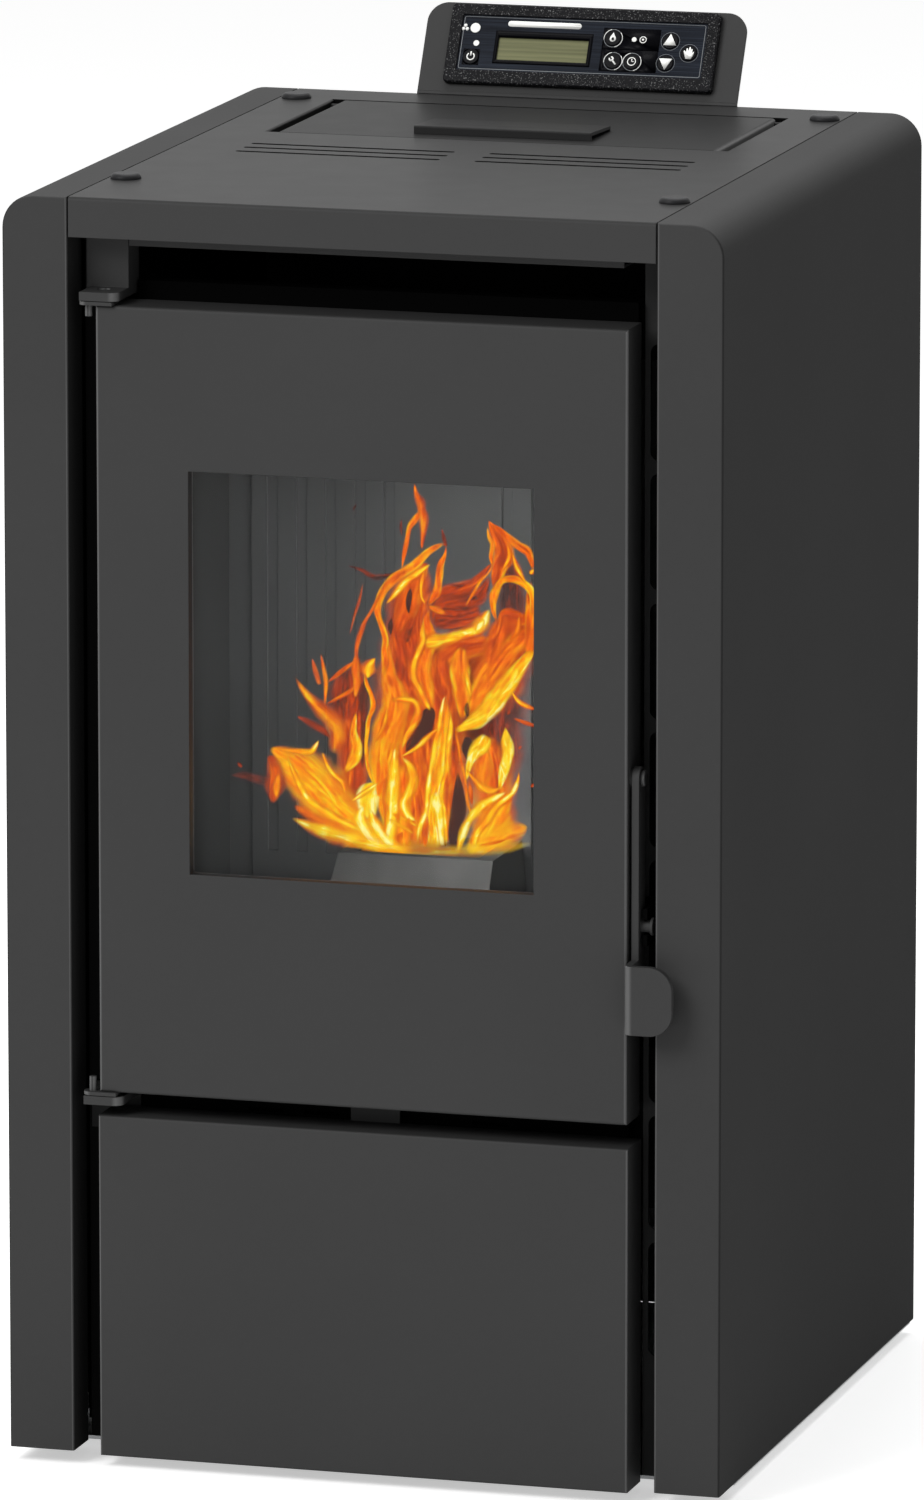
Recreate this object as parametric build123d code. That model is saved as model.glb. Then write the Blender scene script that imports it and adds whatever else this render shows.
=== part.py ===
from build123d import *
import math
import os

# Pellet stove with a lift-up hopper lid, a glazed fire door, a tilted keypad and its working parts.
# The model is drawn in the cabinet's frame: X to the right, Y from the front face to the back and
# Z up from the lower edge of the side panels, in millimetres. On saving, every piece is moved so
# that the origin is on the floor, at the middle of the stove's overall box.

# ---------------------------------------------------------------- driving dimensions
BODY_WIDTH = 406.0
BODY_DEPTH = 428.0
BODY_HEIGHT = 700.0
SHEET = 1.5
FLOOR_GAP = 8.0               # floor to the lower edge of the side panels
WELD_GAP = 0.2                # parallel sheets that meet
FOLD_RADIUS = 1.2
RUNNING_FIT = 0.05            # radial clearance of a pin in its hole
SLIP = 0.3                    # clearance round other round pieces

COLUMN_WIDTH = 37.0
COLUMN_RETURN = 26.0
CORNER_RADIUS = 18.0
REAR_RETURN = 18.0
SEAM = 0.8
BASE_THICKNESS = 2.0
BASE_BOTTOM = -2.5
BASE_UPSTAND = 18.0
FOOT_INSET = 21.0
FOOT_FRONT_Y = 72.0
FOOT_STUD_RADIUS = 4.0
FRAME_FRONT = 38.0            # front of the inner side frames
FRAME_SIDE_GAP = 2.0          # inner side frames outside the columns' inner edge
STRIP_WIDTH = 19.0
SIDE_SLOT_WIDTH = 10.0
SIDE_SLOT_LENGTH = 64.0
SIDE_SLOT_PITCH = 71.0
SIDE_SLOT_DROP = 72.0         # top of the uppermost slot below the top face
SIDE_SLOT_COUNT = 8

FASCIA_HEIGHT = 22.0
OUTLET_HEIGHT = 36.7          # warm air outlet, from the fascia to the door
LID_DEPTH = 128.5
LID_REAR_INSET = 37.2
LID_HALF_WIDTH = 127.5
LID_SIDE_GAP = 6.0
LID_FRONT_GAP = 1.0
LID_REAR_GAP = 1.8
LID_FLANGE = 12.0
LID_AXIS_INSET = 2.6          # lid axis ahead of the lid's rear edge
LID_AXIS_DROP = 3.4           # lid axis below the top face
LID_PIN_RADIUS = 1.5
PULL_HALF_WIDTH = 51.5
PULL_DEPTH = 40.2
PULL_INSET = 13.8             # pull behind the lid's front edge
VENT_LENGTH = 118.0
VENT_WIDTH = 4.0
VENT_ROWS = (186.5, 201.5, 216.0)
VENT_CENTRE_X = 69.0
CAP_RADIUS = 8.5
CAP_HEIGHT = 3.0
CAP_INSET = 10.4              # cap centres inside the columns' inner edge
CAP_FRONT = 73.0
CAP_REAR_INSET = 36.0

DOOR_SIDE_GAP = 16.0
DOOR_BOTTOM = 204.3
DOOR_DEPTH = 27.0
DOOR_SHEET = 2.0
WINDOW_HALF_WIDTH = 97.6
WINDOW_BOTTOM = 329.0
WINDOW_DROP = 89.0            # window's upper edge below the door's
WINDOW_REBATE = 6.0
GLASS_THICKNESS = 4.0
GLASS_OVERLAP = 10.0
GASKET_SQUASH = 3.0
HINGE_OFFSET = 4.6            # hinge axis beside the door's edge
HINGE_Y = 3.0
HINGE_PIN_RADIUS = 2.0
HINGE_TAB = 2.0
LUG_THICKNESS = 4.8
LUG_GAP = 0.4
LUG_REACH = 17.6              # lug's right end from the hinge axis
LUG_FRONT = -2.0
UPPER_BRACKET_HEIGHT = 33.0
LOWER_BRACKET_HEIGHT = 26.0

LEVER_GAP = 1.8
LEVER_THICKNESS = 4.0
LEVER_FRONT = 3.2
LEVER_WIDTH = 13.0
PIVOT_Z = 395.0
PIVOT_RADIUS = 3.0
CATCH_Z = 313.5
CATCH_PIN_RADIUS = 3.4
CATCH_SLOT_PLAY = 0.9
GRAB_FRONT = -13.5
GRAB_WIDTH = 27.2
GRAB_BOTTOM = 257.5
GRAB_TOP = 295.5

PANEL_SIDE_GAP = 15.2
PANEL_BOTTOM = -1.5
PANEL_TOP_GAP = 13.3          # lower panel below the door
PANEL_DEPTH = 28.0
RAIL_FRONT = 31.0
RAIL_BOTTOM = 150.0
RAIL_TOP = 203.0
RAIL_SCREW_Z = 194.5

FIREBOX_FRONT = 34.0
FIREBOX_BACK = 175.0
FIREBOX_SIDE_INSET = 21.0     # firebox wall inside the door's edge
FIREBOX_FLOOR = 222.0
FIREBOX_ROOF_DROP = 29.3      # firebox roof below the door's upper edge
PLATE = 3.0
FLANGE_PLATE = 2.0
FLANGE_BOTTOM = 207.0
FLANGE_RISE = 9.7             # flange above the door's upper edge
BAFFLE_DROP = 52.0            # underside of the baffle below the firebox roof
BAFFLE_THICKNESS = 14.0
SHELF_TOP = 289.0
SHELF_FRONT = 88.0
POT_TOP = 324.0
POT_FRONT = 105.0
POT_HALF_WIDTH = 44.5
POT_DEPTH = 58.0
POT_CUP_HALF_WIDTH = 38.0
POT_CUP_BOTTOM = 270.0
LINER_THICKNESS = 6.0
LINER_HALF_WIDTH = 114.0
ASH_PAN_HALF_WIDTH = 108.0
ASH_PAN_HEIGHT = 40.0
IGNITER_Z = 300.0
IGNITER_RADIUS = 5.0

HOPPER_RIM_DROP = 12.2        # hopper rim below the top face
HOPPER_BOX_DEPTH = 100.0      # straight part of the hopper below the top face
HOPPER_OUTLET = 466.0
HOPPER_OUTLET_Y = 308.0
HOPPER_NECK = 32.0            # half width of the outlet neck
GRATE_WIRE = 3.0
GRATE_WIRES = 13
AUGER_REAR = (0.0, 345.0, 400.0)
AUGER_FRONT = (0.0, 208.0, 464.0)
AUGER_TUBE_RADIUS = 26.0
AUGER_FLIGHT_RADIUS = 22.5
AUGER_FLIGHT_THICKNESS = 2.4
AUGER_SHAFT_RADIUS = 6.5
AUGER_PITCH = 38.0
CHUTE_RADIUS = 22.0
CHUTE_SETBACK = 22.0          # chute axis behind the feed tube's front end

SMOKE_DUCT_LEFT = -128.0
SMOKE_DUCT_RIGHT = -70.0
SMOKE_DUCT_DEPTH = 36.0
SMOKE_DUCT_BOTTOM = 96.0
FAN_X = -60.0
FAN_Z = 130.0
FAN_HOUSING_RADIUS = 62.0
FAN_WHEEL_RADIUS = 52.0
FAN_FRONT = 222.0
FAN_BACK = 262.0
FLUE_X = 20.0
FLUE_Z = 110.0
FLUE_RADIUS = 40.0            # 80 mm flue connection
FLUE_WALL = 1.2
FLUE_REACH = 50.0             # flue connection behind the cabinet
INTAKE_X = -105.0
INTAKE_Z = 50.0
INTAKE_RADIUS = 25.0          # 50 mm combustion air pipe
INTAKE_REACH = 34.0
INTAKE_COLLAR = 1.2           # collar that seats the air pipe on the rear panel
BLOWER_X = 118.0
BLOWER_Z = 95.0
BLOWER_RADIUS = 44.0
BLOWER_WHEEL_RADIUS = 36.0
BLOWER_FRONT = 300.0
BLOWER_BACK = 352.0

CONSOLE_TILT = 29.0
CONSOLE_HALF_WIDTH = 94.5
CONSOLE_HEIGHT = 56.6
CONSOLE_CORNER = 12.0
CONSOLE_SHEET = 2.0
KEYPAD_HALF_WIDTH = 79.6
KEYPAD_BOTTOM = 6.6
KEYPAD_TOP = 55.1
KEYPAD_RIM = 4.2
OVERLAY_HALF_WIDTH = 72.3
OVERLAY_BOTTOM = 14.5
OVERLAY_TOP = 48.0
OVERLAY_FACE = 3.2
KEY_RADIUS = 4.6
KEY_PROUD = 0.7
KEYS = {
    "key_power": (-64.7, 22.6),
    "key_flame": (17.7, 37.3),
    "key_wrench": (19.4, 23.4),
    "key_clock": (30.6, 23.4),
    "key_up": (51.6, 36.8),
    "key_down": (50.4, 23.4),
    "key_hand": (63.4, 30.0),
}
LIGHTS = ((-64.4, 40.3, 2.9), (-62.6, 31.0, 1.7), (30.2, 37.0, 1.4))
LCD_LEFT = -51.4
LCD_RIGHT = 4.7
LCD_BOTTOM = 20.4
LCD_TOP = 39.1

INLET_INSET = 63.0            # mains inlet inside the cabinet's side
INLET_Z = 170.0
SWITCH_Z = 204.0
ROCKER_TILT = 8.0
RESET_Z = 250.0
RESET_RADIUS = 3.0

# ---------------------------------------------------------------- sizes that follow
HALF_WIDTH = BODY_WIDTH / 2
COLUMN_INNER = HALF_WIDTH - COLUMN_WIDTH
PANEL_EDGE = COLUMN_INNER - SEAM
INNER_SIDE_X = COLUMN_INNER + FRAME_SIDE_GAP
STRIP_INNER_X = INNER_SIDE_X - STRIP_WIDTH
FRAME_INSIDE = INNER_SIDE_X - SHEET - WELD_GAP
TOP_UNDERSIDE = BODY_HEIGHT - SHEET
BASE_TOP = BASE_BOTTOM + BASE_THICKNESS
FASCIA_BOTTOM = BODY_HEIGHT - FASCIA_HEIGHT
LID_REAR = BODY_DEPTH - LID_REAR_INSET
LID_FRONT = LID_REAR - LID_DEPTH
LID_AXIS_Y = LID_REAR - LID_AXIS_INSET
LID_AXIS_Z = BODY_HEIGHT - LID_AXIS_DROP
LID_HOLE = (LID_HALF_WIDTH + LID_SIDE_GAP, LID_FRONT - LID_FRONT_GAP, LID_REAR + LID_REAR_GAP)
CAP_X = COLUMN_INNER - CAP_INSET
DOOR_HALF_WIDTH = COLUMN_INNER - DOOR_SIDE_GAP
DOOR_TOP = FASCIA_BOTTOM - OUTLET_HEIGHT
WINDOW_TOP = DOOR_TOP - WINDOW_DROP
HINGE_X = -DOOR_HALF_WIDTH - HINGE_OFFSET
LUG_RIGHT = HINGE_X + LUG_REACH
LEVER_INNER_X = DOOR_HALF_WIDTH + LEVER_GAP
LEVER_OUTER_X = LEVER_INNER_X + LEVER_THICKNESS
LEVER_AXIS_Y = LEVER_FRONT + LEVER_WIDTH / 2
GRAB_RIGHT = LEVER_INNER_X + GRAB_WIDTH
GLASS_FRONT = WINDOW_REBATE + GASKET_SQUASH
GLASS_BACK = GLASS_FRONT + GLASS_THICKNESS
PANEL_HALF_WIDTH = COLUMN_INNER - PANEL_SIDE_GAP
PANEL_TOP = DOOR_BOTTOM - PANEL_TOP_GAP
FIREBOX_HALF_WIDTH = DOOR_HALF_WIDTH - FIREBOX_SIDE_INSET
FIREBOX_ROOF = DOOR_TOP - FIREBOX_ROOF_DROP
FLANGE_HALF_WIDTH = DOOR_HALF_WIDTH - 3
FLANGE_TOP = DOOR_TOP + FLANGE_RISE
FLANGE_FRONT = FIREBOX_FRONT - FLANGE_PLATE
LINER_PLATE_BACK = DOOR_DEPTH - 1
OPENING_HALF_WIDTH = FIREBOX_HALF_WIDTH - 3
OPENING_BOTTOM = FIREBOX_FLOOR + 12
OPENING_TOP = FIREBOX_ROOF - 8
BAFFLE_BOTTOM = FIREBOX_ROOF - BAFFLE_DROP
HOPPER_HALF_WIDTH = LID_HALF_WIDTH + LID_SIDE_GAP + 0.5
HOPPER_WAIST = BODY_HEIGHT - HOPPER_BOX_DEPTH
HOPPER_RIM = BODY_HEIGHT - HOPPER_RIM_DROP
FLUE_END = BODY_DEPTH + FLUE_REACH
INTAKE_END = BODY_DEPTH + INTAKE_REACH
INLET_X = HALF_WIDTH - INLET_INSET
CONSOLE = Plane(
    origin=(0, BODY_DEPTH - 0.8, BODY_HEIGHT),
    x_dir=(1, 0, 0),
    z_dir=(0, -math.cos(math.radians(CONSOLE_TILT)), math.sin(math.radians(CONSOLE_TILT))),
)
PLACE = Pos(0, -(GRAB_FRONT + FLUE_END) / 2, FLOOR_GAP)


# ---------------------------------------------------------------- drawing helpers
def block(x0, x1, y0, y1, z0, z1):
    """Box between two corners."""
    size = Box(x1 - x0, y1 - y0, z1 - z0)
    return Pos((x0 + x1) / 2, (y0 + y1) / 2, (z0 + z1) / 2) * size


def wide_block(half_width, y0, y1, z0, z1):
    """Box that is centred on the stove's middle plane."""
    return block(-half_width, half_width, y0, y1, z0, z1)


def rod(start, end, radius):
    """Round bar between two points."""
    axis = Vector(*end) - Vector(*start)
    return Solid.make_cylinder(radius, axis.length, Plane(origin=start, z_dir=axis))


def tube(start, end, outer, inner):
    """Pipe between two points."""
    return rod(start, end, outer) - rod(start, end, inner)


def side_prism(points, x0, x1):
    """Prism from an outline of (Y, Z) points, between two X planes."""
    face = make_face(Polyline(*points, close=True))
    return extrude(Plane(origin=(x0, 0, 0), x_dir=(0, 1, 0), z_dir=(1, 0, 0)) * face, x1 - x0)


def mirrored(shape):
    """The shape's twin on the stove's other side."""
    return mirror(shape, about=Plane.YZ)


def both_sides(shape):
    """The shape and its twin."""
    return [shape, mirrored(shape)]


def together(pieces):
    """Separate solids of one node."""
    solids = []
    for piece in pieces:
        solids.extend(piece.solids())
    return Compound(children=solids)


def console_block(x0, x1, v0, v1, w0, w1):
    """Box in the console's frame: X across, v up the slope, w out of its face."""
    return CONSOLE * block(x0, x1, v0, v1, w0, w1)


def console_rod(x, v, w0, w1, radius):
    """Round bar that stands out of the console's face."""
    return CONSOLE * Pos(x, v, (w0 + w1) / 2) * Cylinder(radius, w1 - w0)


# ---------------------------------------------------------------- cabinet
def base_plate():
    half = HALF_WIDTH - SHEET - WELD_GAP
    rear = BODY_DEPTH - SHEET - WELD_GAP
    plate = wide_block(half, FRAME_FRONT, rear, BASE_BOTTOM, BASE_TOP)
    for x0 in (-half, half - SHEET):
        plate += block(x0, x0 + SHEET, FRAME_FRONT, rear, BASE_TOP, BASE_TOP + BASE_UPSTAND)
    for x, y in foot_places():
        plate += Pos(x, y, BASE_TOP + 3) * extrude(RegularPolygon(7.5, 6), 5)
        plate += block(x - 8, x + 8, y - 8, y + 8, BASE_TOP - 0.5, BASE_TOP + 3.2)
        plate -= Pos(x, y, 0) * Cylinder(FOOT_STUD_RADIUS + SLIP, 40)
    return plate


def foot_places():
    inset = HALF_WIDTH - FOOT_INSET
    return [(x, y) for x in (-inset, inset) for y in (FOOT_FRONT_Y, BODY_DEPTH - 34)]


def levelling_feet():
    feet = []
    for x, y in foot_places():
        pad = Pos(x, y, -FLOOR_GAP + 1.5) * Cylinder(13, 3)
        pad = fillet(pad.edges().group_by(Axis.Z)[-1], 1)
        stud = rod((x, y, -FLOOR_GAP + 2), (x, y, 16), FOOT_STUD_RADIUS)
        feet.append(pad + stud)
    return together(feet)


def side_panel():
    """Right side panel: outer side, front column with its return, top ledge and rear return."""
    outer = block(COLUMN_INNER, HALF_WIDTH, 0, BODY_DEPTH, 0, BODY_HEIGHT)
    corner = outer.edges().filter_by(Axis.Y).sort_by(lambda e: e.center().X + e.center().Z)[-1]
    outer = fillet(corner, CORNER_RADIUS)
    front = outer.faces().sort_by(Axis.Y)[0]
    front_edges = [e for e in front.edges() if e.center().Z > 1]
    outer = fillet(front_edges, FOLD_RADIUS)
    inside = block(
        COLUMN_INNER + SHEET, HALF_WIDTH - SHEET, SHEET, BODY_DEPTH - SHEET, -1, TOP_UNDERSIDE
    )
    corner = inside.edges().filter_by(Axis.Y).sort_by(lambda e: e.center().X + e.center().Z)[-1]
    inside = fillet(corner, CORNER_RADIUS - SHEET)
    panel = outer - inside
    panel -= block(
        COLUMN_INNER - 1, COLUMN_INNER + SHEET, COLUMN_RETURN, BODY_DEPTH + 1, -1, TOP_UNDERSIDE
    )
    panel -= block(
        COLUMN_INNER - 1, HALF_WIDTH - REAR_RETURN, BODY_DEPTH - SHEET, BODY_DEPTH + 1, -1,
        TOP_UNDERSIDE,
    )
    return panel


def inner_side():
    """Right inner frame: a slotted front strip and the wall of the warm air duct."""
    top = TOP_UNDERSIDE - WELD_GAP
    rear = BODY_DEPTH - SHEET - WELD_GAP
    low = BASE_TOP + WELD_GAP
    strip = block(STRIP_INNER_X, INNER_SIDE_X, FRAME_FRONT, FRAME_FRONT + SHEET, low, top)
    wall = block(INNER_SIDE_X - SHEET, INNER_SIDE_X, FRAME_FRONT, rear, low, top)
    frame = strip + wall
    slot = SlotOverall(SIDE_SLOT_LENGTH, SIDE_SLOT_WIDTH, rotation=90)
    face = Plane(origin=(0, FRAME_FRONT - 1, 0), x_dir=(1, 0, 0), z_dir=(0, -1, 0))
    cutter = extrude(face * slot, -(SHEET + 2))
    slot_x = STRIP_INNER_X + 3.1 + SIDE_SLOT_WIDTH / 2
    for row in range(SIDE_SLOT_COUNT):
        middle = BODY_HEIGHT - SIDE_SLOT_DROP - SIDE_SLOT_LENGTH / 2 - row * SIDE_SLOT_PITCH
        frame -= Pos(slot_x, 0, middle) * cutter
    return frame


def lid_hole_frame():
    """Down-turned rim of the lid opening, as a solid frame."""
    half, front, rear = LID_HOLE
    low = HOPPER_RIM + WELD_GAP
    rim = wide_block(half + SHEET, front - SHEET, rear + SHEET, low, TOP_UNDERSIDE)
    return rim - wide_block(half, front, rear, low - 1, BODY_HEIGHT)


def top_panel():
    panel = wide_block(PANEL_EDGE, 0, BODY_DEPTH, TOP_UNDERSIDE, BODY_HEIGHT)
    panel += wide_block(PANEL_EDGE, 0, SHEET, FASCIA_BOTTOM, BODY_HEIGHT)
    panel += wide_block(PANEL_EDGE, BODY_DEPTH - SHEET, BODY_DEPTH, BODY_HEIGHT - 15, BODY_HEIGHT)
    bend = panel.edges().filter_by(Axis.X).filter_by_position(Axis.Y, -0.1, 0.1)
    panel = fillet(bend.sort_by(Axis.Z)[-1], 2.0)
    half, front, rear = LID_HOLE
    panel += lid_hole_frame()
    panel -= wide_block(half, front, rear, BODY_HEIGHT - 20, BODY_HEIGHT + 1)
    mouth = [
        e for e in panel.edges().filter_by(Axis.Y)
        if abs(abs(e.center().X) - half) < 0.01 and abs(e.center().Z - BODY_HEIGHT) < 0.01
    ]
    panel = fillet(mouth, SHEET - 0.1)
    slot = extrude(SlotOverall(VENT_LENGTH, VENT_WIDTH), 6)
    for y in VENT_ROWS:
        for x in (-VENT_CENTRE_X, VENT_CENTRE_X):
            panel -= Pos(x, y, BODY_HEIGHT - 4) * slot
    for x, y in cap_places():
        panel -= Pos(x, y, BODY_HEIGHT) * Cylinder(4.0, 8)
    for side in (-1, 1):
        start = (side * (LID_HALF_WIDTH - 1.8), LID_AXIS_Y, LID_AXIS_Z)
        end = (side * (half + 1), LID_AXIS_Y, LID_AXIS_Z)
        panel += rod(start, end, LID_PIN_RADIUS)
    return panel


def cap_places():
    return [(x, y) for x in (-CAP_X, CAP_X) for y in (CAP_FRONT, BODY_DEPTH - CAP_REAR_INSET)]


def top_caps():
    """Plugs over the top panel's fixing screws."""
    caps = []
    for x, y in cap_places():
        head = Pos(x, y, BODY_HEIGHT + CAP_HEIGHT / 2) * Cylinder(CAP_RADIUS, CAP_HEIGHT)
        head = fillet(head.edges().group_by(Axis.Z)[-1], CAP_HEIGHT - 0.4)
        caps.append(head + rod((x, y, BODY_HEIGHT - 6), (x, y, BODY_HEIGHT + 1), 3.8))
    return together(caps)


def rear_panel():
    half = HALF_WIDTH - REAR_RETURN - WELD_GAP
    front = BODY_DEPTH - SHEET
    low = BASE_TOP + WELD_GAP
    panel = wide_block(half, front, BODY_DEPTH, low, BODY_HEIGHT - 15 - WELD_GAP)
    y0, y1 = front - 1, BODY_DEPTH + 1
    panel -= rod((FLUE_X, y0, FLUE_Z), (FLUE_X, y1, FLUE_Z), FLUE_RADIUS + 0.5)
    panel -= rod((INTAKE_X, y0, INTAKE_Z), (INTAKE_X, y1, INTAKE_Z), INTAKE_RADIUS + 0.5)
    panel -= block(INLET_X - 21, INLET_X + 21, y0, y1, INLET_Z - 12, SWITCH_Z + 14)
    panel -= rod((INLET_X, y0, RESET_Z), (INLET_X, y1, RESET_Z), 6)
    face = Plane(origin=(0, y0, 0), x_dir=(1, 0, 0), z_dir=(0, -1, 0))
    slit = extrude(face * SlotOverall(74, 4), -(SHEET + 2))
    for row in range(9):
        panel -= Pos(BLOWER_X, 0, BLOWER_Z + (row - 4) * 9) * slit
    for row in range(6):
        panel -= Pos(0, 0, BODY_HEIGHT - 140 + row * 12) * slit
    for x, z in rear_screw_places():
        panel -= rod((x, y0, z), (x, y1, z), 2.0)
    return panel


def rear_screw_places():
    edge = HALF_WIDTH - REAR_RETURN - 8
    places = [(x, z) for x in (-edge, edge) for z in (12, 240, 460, 674)]
    return places + [(x, BODY_HEIGHT - 32) for x in (-70, 0, 70)]


def screw(x, y, z, reach, head=4.0, thread=1.9, side=1):
    """Domed cross-head screw along Y, with its head at y; side is the way the head faces."""
    dome = rod((x, y, z), (x, y + side * 2.2, z), head)
    rims = dome.edges().filter_by(GeomType.CIRCLE).sort_by(lambda e: side * e.center().Y)
    dome = fillet(rims[-1], 1.6)
    low, high = sorted((y + side * 1.0, y + side * 3.0))
    for dx, dz in ((0.55 * head, 0.1 * head), (0.1 * head, 0.55 * head)):
        dome -= block(x - dx, x + dx, low, high, z - dz, z + dz)
    return dome + rod((x, y + side * 0.5, z), (x, y - side * reach, z), thread)


def panel_screws():
    """Screws of the rear panel, the console bracket and the lower front panel."""
    screws = []
    for x, z in rear_screw_places():
        on_bracket = z > 600 and abs(x) <= 70
        seat = BODY_DEPTH + (2.0 if on_bracket else 0.0)
        screws.append(screw(x, seat, z, 3.2 + seat - BODY_DEPTH))
    screws.append(screw(0, RAIL_FRONT, RAIL_SCREW_Z, 2.6, head=3.1, side=-1))
    return together(screws)


# ---------------------------------------------------------------- lower front panel and its rail
def lower_panel():
    """Folded cover below the door, with a tab that a screw holds to the rail."""
    outer = wide_block(PANEL_HALF_WIDTH, 0, PANEL_DEPTH, PANEL_BOTTOM, PANEL_TOP)
    front = outer.faces().sort_by(Axis.Y)[0]
    outer = fillet(front.edges(), FOLD_RADIUS)
    inside = wide_block(
        PANEL_HALF_WIDTH - SHEET, SHEET, PANEL_DEPTH + 1, PANEL_BOTTOM + SHEET, PANEL_TOP - SHEET
    )
    panel = outer - inside
    tab = block(-14, 14, PANEL_DEPTH - SHEET, PANEL_DEPTH, PANEL_TOP - SHEET, RAIL_SCREW_Z + 5)
    foot = wide_block(40, PANEL_DEPTH - 1, RAIL_FRONT - WELD_GAP, PANEL_BOTTOM, PANEL_BOTTOM + SHEET)
    return panel + tab + foot


def cross_rail():
    """Rail between the inner frames that carries the lower panel's top and bottom edges."""
    inner = STRIP_INNER_X - WELD_GAP
    back = FRAME_FRONT + 2 * SHEET + WELD_GAP
    rail = wide_block(FRAME_INSIDE, back - SHEET, back, RAIL_BOTTOM, RAIL_TOP)
    rail += wide_block(inner - 6, RAIL_FRONT, RAIL_FRONT + SHEET, RAIL_BOTTOM + 20, RAIL_TOP)
    rail += wide_block(inner - 6, RAIL_FRONT, back, RAIL_TOP - SHEET, RAIL_TOP)
    rail += wide_block(inner - 6, PANEL_DEPTH + WELD_GAP, RAIL_FRONT + 0.5, 171, 186)
    for x in (-64, -32, 64):
        rail -= block(x - 10, x + 10, RAIL_FRONT - 1, RAIL_FRONT + SHEET + 0.5, 192, 194)
    rail -= block(-inner - 1, LUG_RIGHT + 1.4, RAIL_FRONT - 4, FRAME_FRONT, 165, RAIL_TOP + 1)
    rail -= rod((0, RAIL_FRONT - 4, RAIL_SCREW_Z), (0, back + 1, RAIL_SCREW_Z), 1.95)
    return rail


def air_duct_roof():
    """Plate that closes the warm air outlet above the firebox."""
    left, right = LUG_RIGHT + 1, COLUMN_INNER - 23
    low, high = FASCIA_BOTTOM - 6, FASCIA_BOTTOM - 6 + SHEET
    plate = block(left, right, 17, 60, low, high)
    plate += wide_block(FRAME_INSIDE, FRAME_FRONT + 7, 225, low, high)
    return plate + block(left, right, 17, 18.5, low, high + 2)


# ---------------------------------------------------------------- hopper lid
def hopper_lid():
    low = BODY_HEIGHT - LID_FLANGE
    lid = wide_block(LID_HALF_WIDTH, LID_FRONT, LID_REAR, low, BODY_HEIGHT)
    rims = lid.faces().sort_by(Axis.Z)[-1].edges()
    lid = fillet([e for e in rims if e.center().Y < LID_REAR - 1 and e.center().Y > LID_FRONT + 1], 2.2)
    rear = lid.edges().filter_by(Axis.X).filter_by_position(Axis.Y, LID_REAR - 0.1, LID_REAR + 0.1)
    lid = fillet(rear.sort_by(Axis.Z)[-1], 1.0)
    lid -= wide_block(LID_HALF_WIDTH - SHEET, LID_FRONT + SHEET, LID_REAR + 1, low - 1, TOP_UNDERSIDE)
    for side in (-1, 1):
        start = (side * (LID_HALF_WIDTH - 4), LID_AXIS_Y, LID_AXIS_Z)
        end = (side * (LID_HALF_WIDTH + 2), LID_AXIS_Y, LID_AXIS_Z)
        lid -= rod(start, end, LID_PIN_RADIUS + RUNNING_FIT)
    return lid


def lid_handle():
    """Low pull of folded sheet with a dished top and open ends."""
    front = LID_FRONT + PULL_INSET
    rear = front + PULL_DEPTH
    high, low = BODY_HEIGHT + 4.7, BODY_HEIGHT + 3.0
    profile = [(front, BODY_HEIGHT), (front, high), (rear, low), (rear, BODY_HEIGHT)]
    pull = side_prism(profile, -PULL_HALF_WIDTH, PULL_HALF_WIDTH)
    edge = pull.edges().filter_by(Axis.X).sort_by(Axis.Z)[-1]
    pull = fillet(edge, 1.0)
    hollow = [
        (front + 1.4, BODY_HEIGHT - 1), (front + 1.4, high - 2.0),
        (rear - 1.4, low - 1.7), (rear - 1.4, BODY_HEIGHT - 1),
    ]
    pull -= side_prism(hollow, -60, 60)
    dish = Pos(0, (front + rear) / 2, BODY_HEIGHT + 4.0) * loft([
        Rectangle(2 * PULL_HALF_WIDTH - 23, PULL_DEPTH - 26),
        Pos(0, 0, 1.6) * Rectangle(2 * PULL_HALF_WIDTH - 1, PULL_DEPTH - 6),
    ])
    return pull - dish


# ---------------------------------------------------------------- hopper and pellet feed
def hopper_outline(grow):
    """Hopper's outer solid, or its inside where grow is minus the sheet's thickness."""
    half, front, rear = LID_HOLE
    middle = (front + rear) / 2
    top = HOPPER_RIM
    box_half = HOPPER_HALF_WIDTH + grow
    box_depth = (rear - front) - 3 + 2 * grow
    over = 1.0 if grow < 0 else 0.0
    body = Pos(0, middle, (HOPPER_WAIST + top + over) / 2) * Box(
        2 * box_half, box_depth, top + over - HOPPER_WAIST
    )
    neck = HOPPER_NECK + grow
    funnel = loft([
        Pos(0, HOPPER_OUTLET_Y, HOPPER_OUTLET + 10) * Rectangle(2 * neck, 2 * neck),
        Pos(0, middle, HOPPER_WAIST) * Rectangle(2 * box_half, box_depth),
    ])
    low = HOPPER_OUTLET - over
    spout = Pos(0, HOPPER_OUTLET_Y, (low + HOPPER_OUTLET + 10) / 2) * Box(
        2 * neck, 2 * neck, HOPPER_OUTLET + 10 - low
    )
    return body + funnel + spout


def hopper():
    half, front, rear = LID_HOLE
    top = HOPPER_RIM
    rim = wide_block(half + 3, front - 2, rear + 2, top - SHEET, top)
    rim -= wide_block(HOPPER_HALF_WIDTH - 1, front + 2, rear - 2, top - 3, top + 1)
    return hopper_outline(0) + rim - hopper_outline(-SHEET)


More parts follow.
